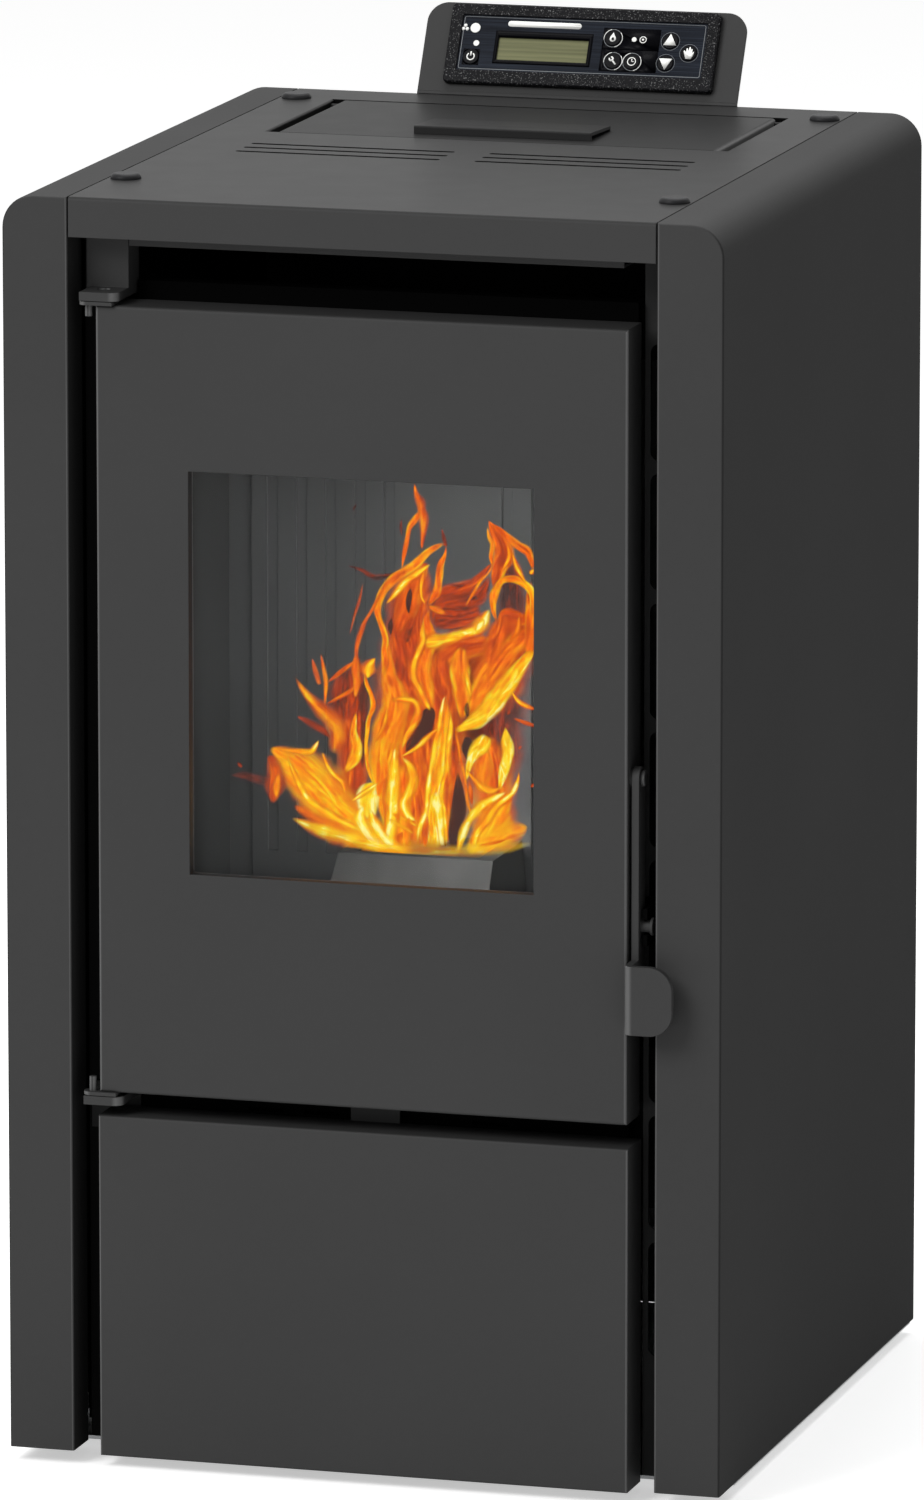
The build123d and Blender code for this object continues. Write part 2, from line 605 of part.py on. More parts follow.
def hopper_grate():
    """Welded wire grid that keeps hands out of the auger; every wire is a solid of its own."""
    half, front, rear = LID_HOLE
    inner_half = HOPPER_HALF_WIDTH - SHEET - WELD_GAP
    y0 = front + 1.5 + SHEET + WELD_GAP
    y1 = front + rear - y0
    z0, z1 = HOPPER_WAIST + 4, HOPPER_WAIST + 4 + GRATE_WIRE
    middle = (y0 + y1) / 2
    ends = [
        wide_block(inner_half, y0, y0 + GRATE_WIRE, z0, z1),
        wide_block(inner_half, y1 - GRATE_WIRE, y1, z0, z1),
        wide_block(inner_half, middle, middle + GRATE_WIRE, z0 - GRATE_WIRE - 0.1, z0 - 0.1),
    ]
    inside = GRATE_WIRE + 0.1
    pitch = 2 * (inner_half - 2) / (GRATE_WIRES - 1)
    wires = []
    for index in range(GRATE_WIRES):
        x = index * pitch - inner_half + 2
        wires.append(block(x - 1.5, x + 1.5, y0 + inside, y1 - inside, z0, z1))
    return together(ends + wires)


def auger_axis():
    start, end = Vector(*AUGER_REAR), Vector(*AUGER_FRONT)
    return start, end, (end - start).normalized()


def along_auger(distance):
    start, end, way = auger_axis()
    return tuple(start + way * distance)


def auger_length():
    start, end, way = auger_axis()
    return (end - start).length


def auger_tube():
    """Inclined feed tube with its inlet collar and the drop chute into the firebox."""
    length = auger_length()
    body = rod(along_auger(0), along_auger(length), AUGER_TUBE_RADIUS)
    neck = HOPPER_NECK
    y = HOPPER_OUTLET_Y
    collar = block(-neck, neck, y - neck, y + neck, y_to_axis_z(y) - 6, HOPPER_OUTLET - WELD_GAP)
    drop_start = along_auger(length - CHUTE_SETBACK)
    drop_end = (0, FIREBOX_BACK + PLATE + WELD_GAP, drop_start[2] - (drop_start[1] - FIREBOX_BACK - PLATE))
    chute = rod(drop_start, drop_end, CHUTE_RADIUS)
    flush = block(-60, 60, FIREBOX_BACK - 90, FIREBOX_BACK + PLATE + WELD_GAP, 300, 640)
    outside = body + collar + chute - flush
    bore = rod(along_auger(2), along_auger(length - 2), AUGER_TUBE_RADIUS - SHEET)
    well = block(
        -neck + SHEET, neck - SHEET, y - neck + SHEET, y + neck - SHEET,
        y_to_axis_z(y), HOPPER_OUTLET + 2,
    )
    way = Vector(*drop_end) - Vector(*drop_start)
    past = tuple(Vector(*drop_end) + way.normalized() * 40)
    fall = rod(drop_start, past, CHUTE_RADIUS - SHEET)
    shaft_hole = rod(along_auger(-3), along_auger(4), AUGER_SHAFT_RADIUS + SLIP)
    return outside - bore - well - fall - shaft_hole


def y_to_axis_z(y):
    """Height of the auger's axis at a place along Y."""
    slope = (AUGER_FRONT[2] - AUGER_REAR[2]) / (AUGER_FRONT[1] - AUGER_REAR[1])
    return AUGER_REAR[2] + (y - AUGER_REAR[1]) * slope


def auger_screw():
    turns_length = auger_length() - 40
    path = Helix(pitch=AUGER_PITCH, height=turns_length, radius=AUGER_FLIGHT_RADIUS - 8.5)
    start = Plane(origin=path @ 0, x_dir=(1, 0, 0), z_dir=path % 0)
    flight = sweep(start * Rectangle(17, AUGER_FLIGHT_THICKNESS), path=path, is_frenet=True)
    shaft = Pos(0, 0, turns_length / 2 - 6) * Cylinder(AUGER_SHAFT_RADIUS, turns_length + 26)
    way = auger_axis()[2]
    frame = Plane(origin=along_auger(16), x_dir=(1, 0, 0), z_dir=way)
    return frame * (flight + shaft)


def auger_motor():
    """Geared motor on the rear end of the feed tube."""
    way = auger_axis()[2]
    frame = Plane(origin=along_auger(-WELD_GAP), x_dir=(1, 0, 0), z_dir=way * -1)
    gearbox = Pos(0, 0, 13) * Box(62, 62, 26)
    gearbox = fillet(gearbox.edges().filter_by(Axis.Z), 6)
    motor = Pos(14, 0, 38) * Box(46, 46, 26)
    stack = Pos(14, 0, 38) * Box(58, 30, 16)
    plate = Pos(0, 0, 1) * Box(70, 70, 2)
    drive = gearbox + motor + stack + plate
    return frame * (drive - Cylinder(AUGER_SHAFT_RADIUS + SLIP, 14))


# ---------------------------------------------------------------- firebox
def firebox_shell():
    """Walls, floor, roof, back and pot shelf of the welded firebox."""
    outer = FIREBOX_HALF_WIDTH + PLATE
    rear = FIREBOX_BACK + PLATE
    wall = block(FIREBOX_HALF_WIDTH, outer, FIREBOX_FRONT, rear, FIREBOX_FLOOR, FIREBOX_ROOF)
    floor = wide_block(outer, FIREBOX_FRONT, rear, FIREBOX_FLOOR - PLATE, FIREBOX_FLOOR)
    floor -= block(INTAKE_X - 20, INTAKE_X + 20, 156, 168, FIREBOX_FLOOR - 9, FIREBOX_FLOOR + 1)
    roof = wide_block(outer, FIREBOX_FRONT, rear, FIREBOX_ROOF, FIREBOX_ROOF + PLATE)
    back = wide_block(FIREBOX_HALF_WIDTH, FIREBOX_BACK, rear, FIREBOX_FLOOR, FIREBOX_ROOF)
    chute_z = chute_height()
    back -= block(-27, 27, FIREBOX_BACK - 1, rear + 1, chute_z - 34, chute_z + 32)
    back -= rod((0, FIREBOX_BACK - 1, IGNITER_Z), (0, rear + 1, IGNITER_Z), IGNITER_RADIUS + SLIP)
    back -= smoke_port(FIREBOX_BACK - 1, rear + 1)
    shelf = wide_block(
        FIREBOX_HALF_WIDTH - 0.1, SHELF_FRONT, FIREBOX_BACK - 0.1, SHELF_TOP - PLATE, SHELF_TOP
    )
    shelf -= wide_block(
        POT_CUP_HALF_WIDTH + 2, POT_FRONT, POT_FRONT + POT_DEPTH - 6, SHELF_TOP - 5, SHELF_TOP + 1
    )
    peg_z = BAFFLE_BOTTOM - WELD_GAP - 4
    wall += rod((FIREBOX_HALF_WIDTH - 12, 76, peg_z), (FIREBOX_HALF_WIDTH + 1, 76, peg_z), 4)
    return together([wall, mirrored(wall), floor, roof, back, shelf])


def smoke_port(y0, y1):
    """Cut where the smoke leaves the firebox, above the baffle."""
    return block(
        SMOKE_DUCT_LEFT + 4, SMOKE_DUCT_RIGHT - 4, y0, y1, BAFFLE_BOTTOM + 22, FIREBOX_ROOF - 6
    )


def chute_height():
    """Height where the chute's axis meets the firebox back."""
    top = along_auger(auger_length() - CHUTE_SETBACK)
    return top[2] - (top[1] - FIREBOX_BACK - PLATE)


def firebox_flange():
    """Front frame of the firebox, which the door's rope presses on."""
    front = FLANGE_FRONT
    frame = wide_block(FLANGE_HALF_WIDTH, front, FIREBOX_FRONT, FLANGE_BOTTOM, FLANGE_TOP)
    frame += wide_block(FLANGE_HALF_WIDTH, front, FRAME_FRONT + 6, FLANGE_TOP - FLANGE_PLATE, FLANGE_TOP)
    frame -= wide_block(OPENING_HALF_WIDTH, front - 1, FIREBOX_FRONT + 1, OPENING_BOTTOM, OPENING_TOP)
    frame -= block(-FLANGE_HALF_WIDTH - 1, LUG_RIGHT + 1.4, front - 1, 50, DOOR_TOP - 2, FLANGE_TOP + 1)
    lip_half = FIREBOX_HALF_WIDTH + PLATE + WELD_GAP
    for side in (-1, 1):
        x0, x1 = sorted((side * lip_half, side * FRAME_INSIDE))
        ear_y0, ear_y1 = FRAME_FRONT + SHEET + WELD_GAP, FRAME_FRONT + 2 * SHEET + WELD_GAP
        for z0 in (FLANGE_BOTTOM + 2, FLANGE_TOP - 32):
            frame += block(x0, x1, ear_y0, ear_y1, z0, z0 + 30)
            neck_x = sorted((side * lip_half, side * (lip_half + SHEET)))
            frame += block(neck_x[0], neck_x[1], FIREBOX_FRONT - 1, ear_y1, z0, z0 + 30)
    return frame


def fire_back_liner():
    """Cast back plate with upright grooves, the chute mouth and the igniter hole."""
    rear = FIREBOX_BACK - WELD_GAP
    front = rear - LINER_THICKNESS
    low, high = SHELF_TOP + 0.1, BAFFLE_BOTTOM - WELD_GAP
    liner = wide_block(LINER_HALF_WIDTH, front, rear, low, high)
    for column in range(-6, 7):
        if abs(column) > 1:
            x = column * 17
            liner -= block(x - 3, x + 3, front - 1, front + 2, low + 20, high - 15)
    chute_z = chute_height() - 6
    liner -= block(-27, 27, front - 1, FIREBOX_BACK + 1, chute_z - 34, chute_z + 38)
    return liner - rod((0, front - 1, IGNITER_Z), (0, FIREBOX_BACK, IGNITER_Z), IGNITER_RADIUS + SLIP)


def baffle_plate():
    """Heat-proof slab above the fire; it rests on the liner and on two welded pegs."""
    half = FIREBOX_HALF_WIDTH - 1.5
    top = BAFFLE_BOTTOM + BAFFLE_THICKNESS
    return wide_block(half, 64, FIREBOX_BACK - 0.3, BAFFLE_BOTTOM, top)


def burn_pot():
    """Lift-out fire pot with a sloping apron, a perforated cup and air holes."""
    back = POT_FRONT + POT_DEPTH
    low = SHELF_TOP + WELD_GAP
    run = POT_TOP - low
    slope = 0.8 * run
    bottom = Pos(0, (POT_FRONT - slope + back) / 2, low) * Rectangle(
        2 * (POT_HALF_WIDTH + 3), back - POT_FRONT + slope
    )
    top = Pos(0, (POT_FRONT + back) / 2, POT_TOP) * Rectangle(2 * POT_HALF_WIDTH, back - POT_FRONT)
    pot = loft([bottom, top])
    inner_bottom = Pos(0, (POT_FRONT - slope + back) / 2, low - 1) * Rectangle(
        2 * POT_HALF_WIDTH, back - POT_FRONT + slope - 6
    )
    inner_top = Pos(0, (POT_FRONT + back) / 2, POT_TOP - 3) * Rectangle(
        2 * (POT_HALF_WIDTH - 3), back - POT_FRONT - 6
    )
    pot -= loft([inner_bottom, inner_top])
    cup_half, cup_low = POT_CUP_HALF_WIDTH, POT_CUP_BOTTOM
    y0, y1 = POT_FRONT + 3, back - 10
    pot += wide_block(cup_half, y0, y1, cup_low, POT_TOP)
    pot -= wide_block(cup_half - 3, y0 + 3, y1 - 3, cup_low + 3, POT_TOP + 1)
    for row in range(-3, 4):
        for y in (y0 + 12, (y0 + y1) / 2, y1 - 12):
            pot -= rod((row * 10, y, cup_low - 1), (row * 10, y, cup_low + 5), 2)
        pot -= rod((row * 10, y0 - 2, cup_low + 9), (row * 10, y0 + 5, cup_low + 9), 1.8)
    return pot


def ash_pan():
    half, front, rear = ASH_PAN_HALF_WIDTH, FIREBOX_FRONT + 12, FIREBOX_BACK - 25
    low = FIREBOX_FLOOR + WELD_GAP
    high = low + ASH_PAN_HEIGHT
    pan = wide_block(half, front, rear, low, high)
    pan -= wide_block(half - 1.2, front + 1.2, rear - 1.2, low + 1.2, high + 1)
    pan += wide_block(30, front - 7.5, front + 1, high - 4, high - 2)
    return pan + wide_block(30, front - 7.5, front - 5.5, high - 14, high - 2)


# ---------------------------------------------------------------- door
def door_panel():
    """Folded door skin with the glazing rebate, glass studs and hinge tabs."""
    outer = wide_block(DOOR_HALF_WIDTH, 0, DOOR_DEPTH, DOOR_BOTTOM, DOOR_TOP)
    outer = fillet(outer.faces().sort_by(Axis.Y)[0].edges(), 1.6)
    inside = wide_block(
        DOOR_HALF_WIDTH - DOOR_SHEET, DOOR_SHEET, DOOR_DEPTH + 1, DOOR_BOTTOM + DOOR_SHEET,
        DOOR_TOP - DOOR_SHEET,
    )
    door = outer - inside
    door += wide_block(
        WINDOW_HALF_WIDTH + DOOR_SHEET, 1, WINDOW_REBATE, WINDOW_BOTTOM - DOOR_SHEET,
        WINDOW_TOP + DOOR_SHEET,
    )
    door -= wide_block(WINDOW_HALF_WIDTH, -1, WINDOW_REBATE + 1, WINDOW_BOTTOM, WINDOW_TOP)
    for x, z in stud_places():
        door += rod((x, 1, z), (x, GLASS_BACK + 7, z), 2.5)
    for z0, z1 in ((DOOR_TOP, DOOR_TOP + HINGE_TAB), (DOOR_BOTTOM - HINGE_TAB, DOOR_BOTTOM)):
        tab = block(HINGE_X, -DOOR_HALF_WIDTH + 10, LUG_FRONT, 12, z0, z1)
        tab += rod((HINGE_X, HINGE_Y, z0), (HINGE_X, HINGE_Y, z1), 5)
        tab -= rod((HINGE_X, HINGE_Y, z0 - 1), (HINGE_X, HINGE_Y, z1 + 1), HINGE_PIN_RADIUS + RUNNING_FIT)
        door += tab
    return door + handle_pivot()


def handle_pivot():
    """Shouldered bolt in the door's side that the handle turns on."""
    def disc(x0, x1, radius):
        return rod((x0, LEVER_AXIS_Y, PIVOT_Z), (x1, LEVER_AXIS_Y, PIVOT_Z), radius)

    bolt = disc(DOOR_HALF_WIDTH - 3, LEVER_OUTER_X + 0.6, PIVOT_RADIUS)
    bolt += disc(DOOR_HALF_WIDTH - 0.5, LEVER_INNER_X - SLIP, 5.2)
    head = disc(LEVER_OUTER_X + SLIP, LEVER_OUTER_X + 2.3, 4.6)
    return bolt + fillet(head.edges().filter_by(GeomType.CIRCLE).sort_by(Axis.X)[-1], 1.2)


def stud_places():
    x = WINDOW_HALF_WIDTH + GLASS_OVERLAP + 7
    span = WINDOW_TOP - WINDOW_BOTTOM
    return [(side * x, WINDOW_BOTTOM + share * span) for side in (-1, 1) for share in (0.15, 0.85)]


def window_gasket():
    """Flat rope between the glass and the rebate."""
    edge = GLASS_OVERLAP - 2
    ring = wide_block(
        WINDOW_HALF_WIDTH + edge, WINDOW_REBATE, GLASS_FRONT, WINDOW_BOTTOM - edge, WINDOW_TOP + edge
    )
    return ring - wide_block(
        WINDOW_HALF_WIDTH, WINDOW_REBATE - 1, GLASS_FRONT + 1, WINDOW_BOTTOM, WINDOW_TOP
    )


def door_glass():
    return wide_block(
        WINDOW_HALF_WIDTH + GLASS_OVERLAP, GLASS_FRONT, GLASS_BACK, WINDOW_BOTTOM - GLASS_OVERLAP,
        WINDOW_TOP + GLASS_OVERLAP,
    )


def glass_clamps():
    """Upright clamp bars behind the glass, with their nuts."""
    outer = WINDOW_HALF_WIDTH + GLASS_OVERLAP + 15
    bar = block(
        WINDOW_HALF_WIDTH + 2, outer, GLASS_BACK, GLASS_BACK + 2, WINDOW_BOTTOM - 5, WINDOW_TOP + 5
    )
    bars = both_sides(bar)
    nuts = []
    for x, z in stud_places():
        hole = rod((x, GLASS_BACK - 1, z), (x, GLASS_BACK + 3, z), 2.8)
        bars = [b - hole for b in bars]
        face = Plane(origin=(x, GLASS_BACK + 2, z), x_dir=(1, 0, 0), z_dir=(0, 1, 0))
        nuts.append(face * (extrude(RegularPolygon(5, 6), 4) - Pos(0, 0, 2) * Cylinder(2.6, 6)))
    return together(bars + nuts)


def door_liner():
    """Inner plate of the door, with the rope's seat."""
    fit = DOOR_HALF_WIDTH - DOOR_SHEET - 0.1
    back = LINER_PLATE_BACK
    liner = wide_block(
        fit, back - 2, back, DOOR_BOTTOM + DOOR_SHEET + 0.1, DOOR_TOP - DOOR_SHEET - 0.1
    )
    return liner - wide_block(
        WINDOW_HALF_WIDTH + 18, back - 3, back + 1, WINDOW_BOTTOM - 18, WINDOW_TOP + 18
    )


def door_gasket():
    """Rope round the door's inner plate; it presses on the firebox frame."""
    half = (FLANGE_HALF_WIDTH + OPENING_HALF_WIDTH) / 2
    low = (FLANGE_BOTTOM + OPENING_BOTTOM) / 2
    high = (FLANGE_TOP + OPENING_TOP) / 2 - 8
    seat = LINER_PLATE_BACK
    centre_y = (seat + FLANGE_FRONT) / 2
    outline = Pos(0, (low + high) / 2) * RectangleRounded(2 * half, high - low, 14)
    face = Plane(origin=(0, centre_y, 0), x_dir=(1, 0, 0), z_dir=(0, -1, 0))
    path = (face * outline).wire()
    radius = (FLANGE_FRONT - seat) / 2 - 0.1
    section = Plane(origin=path @ 0, z_dir=path % 0) * Circle(radius)
    return sweep(section, path=path)


def door_handle():
    """Flat lever beside the door with a folded grab tab and the catch pin."""
    lever = block(
        LEVER_INNER_X, LEVER_OUTER_X, LEVER_FRONT, LEVER_FRONT + LEVER_WIDTH, GRAB_TOP - 12, PIVOT_Z
    )
    lever += rod(
        (LEVER_INNER_X, LEVER_AXIS_Y, PIVOT_Z), (LEVER_OUTER_X, LEVER_AXIS_Y, PIVOT_Z), LEVER_WIDTH / 2
    )
    arm = block(
        LEVER_INNER_X, LEVER_OUTER_X, GRAB_FRONT, LEVER_FRONT + LEVER_WIDTH, GRAB_BOTTOM, GRAB_TOP
    )
    tab = block(
        LEVER_INNER_X, GRAB_RIGHT, GRAB_FRONT, GRAB_FRONT + LEVER_THICKNESS, GRAB_BOTTOM, GRAB_TOP
    )
    ends = [e for e in tab.edges().filter_by(Axis.Y) if e.center().X > GRAB_RIGHT - 1]
    tab = fillet(ends, 13)
    grab = arm + tab
    bend = grab.edges().filter_by(Axis.Z).sort_by(lambda e: e.center().X + 3 * e.center().Y)[0]
    grab = fillet(bend, 5)
    pin_start = (LEVER_OUTER_X - 1, LEVER_AXIS_Y, CATCH_Z)
    pin_end = (LEVER_OUTER_X + 5.6, LEVER_AXIS_Y, CATCH_Z)
    head_end = (LEVER_OUTER_X + 7.2, LEVER_AXIS_Y, CATCH_Z)
    handle = lever + grab + rod(pin_start, pin_end, CATCH_PIN_RADIUS)
    handle += rod(pin_end, head_end, CATCH_PIN_RADIUS + 1.5)
    return handle - rod(
        (LEVER_INNER_X - 1, LEVER_AXIS_Y, PIVOT_Z), (LEVER_OUTER_X + 1, LEVER_AXIS_Y, PIVOT_Z),
        PIVOT_RADIUS + RUNNING_FIT,
    )


def door_catch():
    """Fork on the right inner frame that the lever's pin drops into."""
    slot = CATCH_PIN_RADIUS + CATCH_SLOT_PLAY
    x0, x1 = LEVER_OUTER_X + 1.4, LEVER_OUTER_X + 4.2
    front, rear = LEVER_AXIS_Y - 4, FRAME_FRONT - WELD_GAP
    fork = block(x0, x1, front, rear, CATCH_Z - slot - 6, CATCH_Z + slot + 6)
    fork -= block(x0 - 1, x1 + 1, front - 1, LEVER_AXIS_Y + 6, CATCH_Z - slot, CATCH_Z + slot)
    foot = block(
        STRIP_INNER_X + 1, INNER_SIDE_X - 3, rear - 1.6, rear, CATCH_Z - slot - 6, CATCH_Z + slot + 6
    )
    return fork + foot


def hinge_bracket(low, plate_front, plate_low, plate_high, pin_low, pin_high):
    """Lug with its pin, on a plate that is folded back to the inner frame."""
    left, right = HINGE_X - 4, LUG_RIGHT
    rear = FRAME_FRONT - WELD_GAP
    lug = block(left, right, LUG_FRONT, rear, low, low + LUG_THICKNESS)
    corner = lug.edges().filter_by(Axis.Z).filter_by_position(Axis.Y, LUG_FRONT - 1, LUG_FRONT + 1)
    bracket = fillet(corner.sort_by(Axis.X)[-1], 6)
    bracket += block(left - 2.4, right, plate_front, plate_front + 2.5, plate_low, plate_high)
    bracket += block(right - 2.5, right, plate_front, rear, plate_low, plate_high)
    bracket += block(-INNER_SIDE_X + 2, right, rear - 2, rear, plate_low, plate_high)
    return bracket + rod((HINGE_X, HINGE_Y, pin_low), (HINGE_X, HINGE_Y, pin_high), HINGE_PIN_RADIUS)


def hinge_brackets():
    """Upper and lower hinge brackets."""
    low = DOOR_TOP + HINGE_TAB + LUG_GAP
    upper = hinge_bracket(low, 19, low, low + UPPER_BRACKET_HEIGHT, DOOR_TOP - 6.5, low + 2)
    hole_x = HINGE_X + 6
    upper -= rod((hole_x, 11, low - 1), (hole_x, 11, low + LUG_THICKNESS + 1), 3.6)
    high = DOOR_BOTTOM - HINGE_TAB - LUG_GAP
    lower = hinge_bracket(
        high - LUG_THICKNESS, RAIL_FRONT + 3, high - LOWER_BRACKET_HEIGHT, high, high - 2, DOOR_BOTTOM + 8
    )
    return together([upper, lower])


# ---------------------------------------------------------------- smoke, air and controls
def smoke_duct():
    """Duct that takes the smoke down behind the firebox to the extractor."""
    front = FIREBOX_BACK + PLATE + WELD_GAP
    rear = front + SMOKE_DUCT_DEPTH
    left, right, low = SMOKE_DUCT_LEFT, SMOKE_DUCT_RIGHT, SMOKE_DUCT_BOTTOM
    top = FIREBOX_ROOF - 2
    duct = block(left, right, front, rear, low, top)
    duct += block(left, FAN_X + 40, rear - 1, FAN_FRONT - WELD_GAP, low, FAN_Z + 34)
    duct -= block(
        left + SHEET, right - SHEET, front + SHEET, rear - SHEET, low + SHEET, top - SHEET
    )
    duct -= block(
        left + SHEET, FAN_X + 40 - SHEET, rear - SHEET - 1, FAN_FRONT + 1, low + SHEET, FAN_Z + 34 - SHEET
    )
    duct += block(right - SHEET, FAN_X + 40, rear - SHEET, rear, low, FAN_Z + 34)
    return duct - smoke_port(front - 1, front + SHEET + 1)


def extractor_housing():
    """Smoke extractor: volute, outlet box and its motor."""
    body = rod((FAN_X, FAN_FRONT, FAN_Z), (FAN_X, FAN_BACK, FAN_Z), FAN_HOUSING_RADIUS)
    box_low, box_high = FAN_Z - FAN_HOUSING_RADIUS, FLUE_Z + FLUE_RADIUS + 2
    body += block(FAN_X, FLUE_X + FLUE_RADIUS + 4, FAN_FRONT, FAN_BACK, box_low, box_high)
    body -= rod((FAN_X, FAN_FRONT + 2, FAN_Z), (FAN_X, FAN_BACK - 2, FAN_Z), FAN_HOUSING_RADIUS - 2)
    body -= block(
        FAN_X, FLUE_X + FLUE_RADIUS + 2, FAN_FRONT + 2, FAN_BACK - 2, box_low + 2, box_high - 2
    )
    body -= rod((FAN_X, FAN_FRONT - 1, FAN_Z), (FAN_X, FAN_FRONT + 3, FAN_Z), 28)
    body -= rod((FLUE_X, FAN_BACK - 3, FLUE_Z), (FLUE_X, FAN_BACK + 1, FLUE_Z), FLUE_RADIUS - FLUE_WALL)
    motor = rod((FAN_X, FAN_BACK - 0.1, FAN_Z), (FAN_X, FAN_BACK + 58, FAN_Z), 33)
    body = body + motor - rod((FAN_X, FAN_BACK - 3, FAN_Z), (FAN_X, FAN_BACK + 40, FAN_Z), 4 + SLIP)
    return body


def fan_wheel(centre_x, centre_z, y0, y1, outer, inner, hub, shaft_end, shaft_radius, blades):
    """Bladed wheel that turns about an axis along Y."""
    wheel = rod((centre_x, y1 - 2, centre_z), (centre_x, y1, centre_z), outer)
    wheel += rod((centre_x, y0 + 4, centre_z), (centre_x, y1, centre_z), hub)
    blade = block(inner, outer - 1, y0, y1 - 1, -0.9, 0.9)
    for index in range(blades):
        turn = Rot(0, 360 * index / blades, 0)
        wheel += Pos(centre_x, 0, centre_z) * turn * blade
    return wheel + rod((centre_x, y1 - 1, centre_z), (centre_x, shaft_end, centre_z), shaft_radius)


def extractor_wheel():
    return fan_wheel(
        FAN_X, FAN_Z, FAN_FRONT + 6, FAN_BACK - 5, FAN_WHEEL_RADIUS, 12, 14, FAN_BACK + 38, 4, 10
    )


def flue_pipe():
    """Flue connection: 80 mm outside, from the extractor to beyond the rear panel."""
    bore = FLUE_RADIUS - FLUE_WALL
    start = (FLUE_X, FAN_BACK + WELD_GAP, FLUE_Z)
    pipe = tube(start, (FLUE_X, FLUE_END, FLUE_Z), FLUE_RADIUS, bore)
    seat = (FLUE_X, BODY_DEPTH + WELD_GAP, FLUE_Z)
    return pipe + tube(seat, (FLUE_X, BODY_DEPTH + 2.2, FLUE_Z), FLUE_RADIUS + 8, bore)


def air_intake_pipe():
    """Combustion air pipe and the riser into the firebox floor."""
    y0 = FIREBOX_BACK + 20
    riser = block(INTAKE_X - 27, INTAKE_X + 27, 152, y0, INTAKE_Z - 27, FIREBOX_FLOOR - PLATE - WELD_GAP)
    pipe = rod((INTAKE_X, y0 - 2, INTAKE_Z), (INTAKE_X, INTAKE_END, INTAKE_Z), INTAKE_RADIUS)
    riser -= block(INTAKE_X - 40, 0, FIREBOX_BACK + PLATE, y0 + 1, SMOKE_DUCT_BOTTOM - 1, 300)
    outside = riser + pipe
    room = block(
        INTAKE_X - 25.5, INTAKE_X + 25.5, 153.5, FIREBOX_BACK + 1.5, INTAKE_Z - 25.5,
        FIREBOX_FLOOR - PLATE + 2,
    )
    bore = rod((INTAKE_X, 165, INTAKE_Z), (INTAKE_X, INTAKE_END + 1, INTAKE_Z), INTAKE_RADIUS - SHEET)
    seat = (INTAKE_X, BODY_DEPTH + WELD_GAP, INTAKE_Z)
    rest = (INTAKE_X, BODY_DEPTH + INTAKE_COLLAR, INTAKE_Z)
    return outside + rod(seat, rest, INTAKE_RADIUS + 6) - room - bore


def blower_housing():
    """Room air blower behind the rear grille, with its motor and upward outlet."""
    y0, y1 = BLOWER_FRONT, BLOWER_BACK
    body = rod((BLOWER_X, y0, BLOWER_Z), (BLOWER_X, y1, BLOWER_Z), BLOWER_RADIUS)
    top = BLOWER_Z + BLOWER_RADIUS + 12
    body += block(BLOWER_X, BLOWER_X + BLOWER_RADIUS, y0, y1, BLOWER_Z, top)
    body -= rod((BLOWER_X, y0 + 2, BLOWER_Z), (BLOWER_X, y1 - 2, BLOWER_Z), BLOWER_RADIUS - 2)
    body -= block(BLOWER_X + 6, BLOWER_X + BLOWER_RADIUS - 2, y0 + 2, y1 - 2, BLOWER_Z, top + 1)
    body -= rod((BLOWER_X, y1 - 3, BLOWER_Z), (BLOWER_X, y1 + 1, BLOWER_Z), 26)
    motor = rod((BLOWER_X, y0 - 34, BLOWER_Z), (BLOWER_X, y0 + 0.1, BLOWER_Z), 27)
    body = body + motor - rod((BLOWER_X, y0 - 20, BLOWER_Z), (BLOWER_X, y0 + 3, BLOWER_Z), 3 + SLIP)
    foot = block(BLOWER_X - 30, BLOWER_X + 30, y0, y0 + 3, BASE_TOP + WELD_GAP, BLOWER_Z - 30)
    return body + foot


def blower_wheel():
    wheel = fan_wheel(
        BLOWER_X, -BLOWER_Z, -BLOWER_BACK + 6, -BLOWER_FRONT - 6, BLOWER_WHEEL_RADIUS, 25, 8,
        -BLOWER_FRONT + 16, 3, 18,
    )
    return Rot(180, 0, 0) * wheel


def igniter():
    """Ceramic ignition rod through the firebox back."""
    rear = FIREBOX_BACK + PLATE
    body = rod((0, POT_FRONT + POT_DEPTH + 2, IGNITER_Z), (0, rear + 60, IGNITER_Z), IGNITER_RADIUS)
    collar = rod((0, rear + WELD_GAP, IGNITER_Z), (0, rear + 4, IGNITER_Z), 13)
    return body + collar


def pressure_switch():
    """Draught switch on the left inner frame."""
    x = -FRAME_INSIDE
    body = rod((x, 300, 380), (x + 24, 300, 380), 26)
    for y in (292, 308):
        body += rod((x + 23, y, 380), (x + 38, y, 380), 2.5)
    return body


def control_board():
    """Mainboard on standoffs, with its relays, transformer and connectors."""
    x = FRAME_INSIDE
    board = block(x - 10, x - 8.4, 240, 370, 320, 480)
    for y, z in ((248, 328), (362, 328), (248, 472), (362, 472)):
        board += rod((x - 9, y, z), (x, y, z), 3)
    board += block(x - 30, x - 9, 250, 285, 335, 375)
    for index in range(4):
        board += block(x - 24, x - 9, 296 + index * 17, 309 + index * 17, 340, 368)
        board += block(x - 20, x - 9, 252 + index * 28, 274 + index * 28, 455, 466)
    return board + block(x - 13, x - 9, 290, 330, 400, 430)


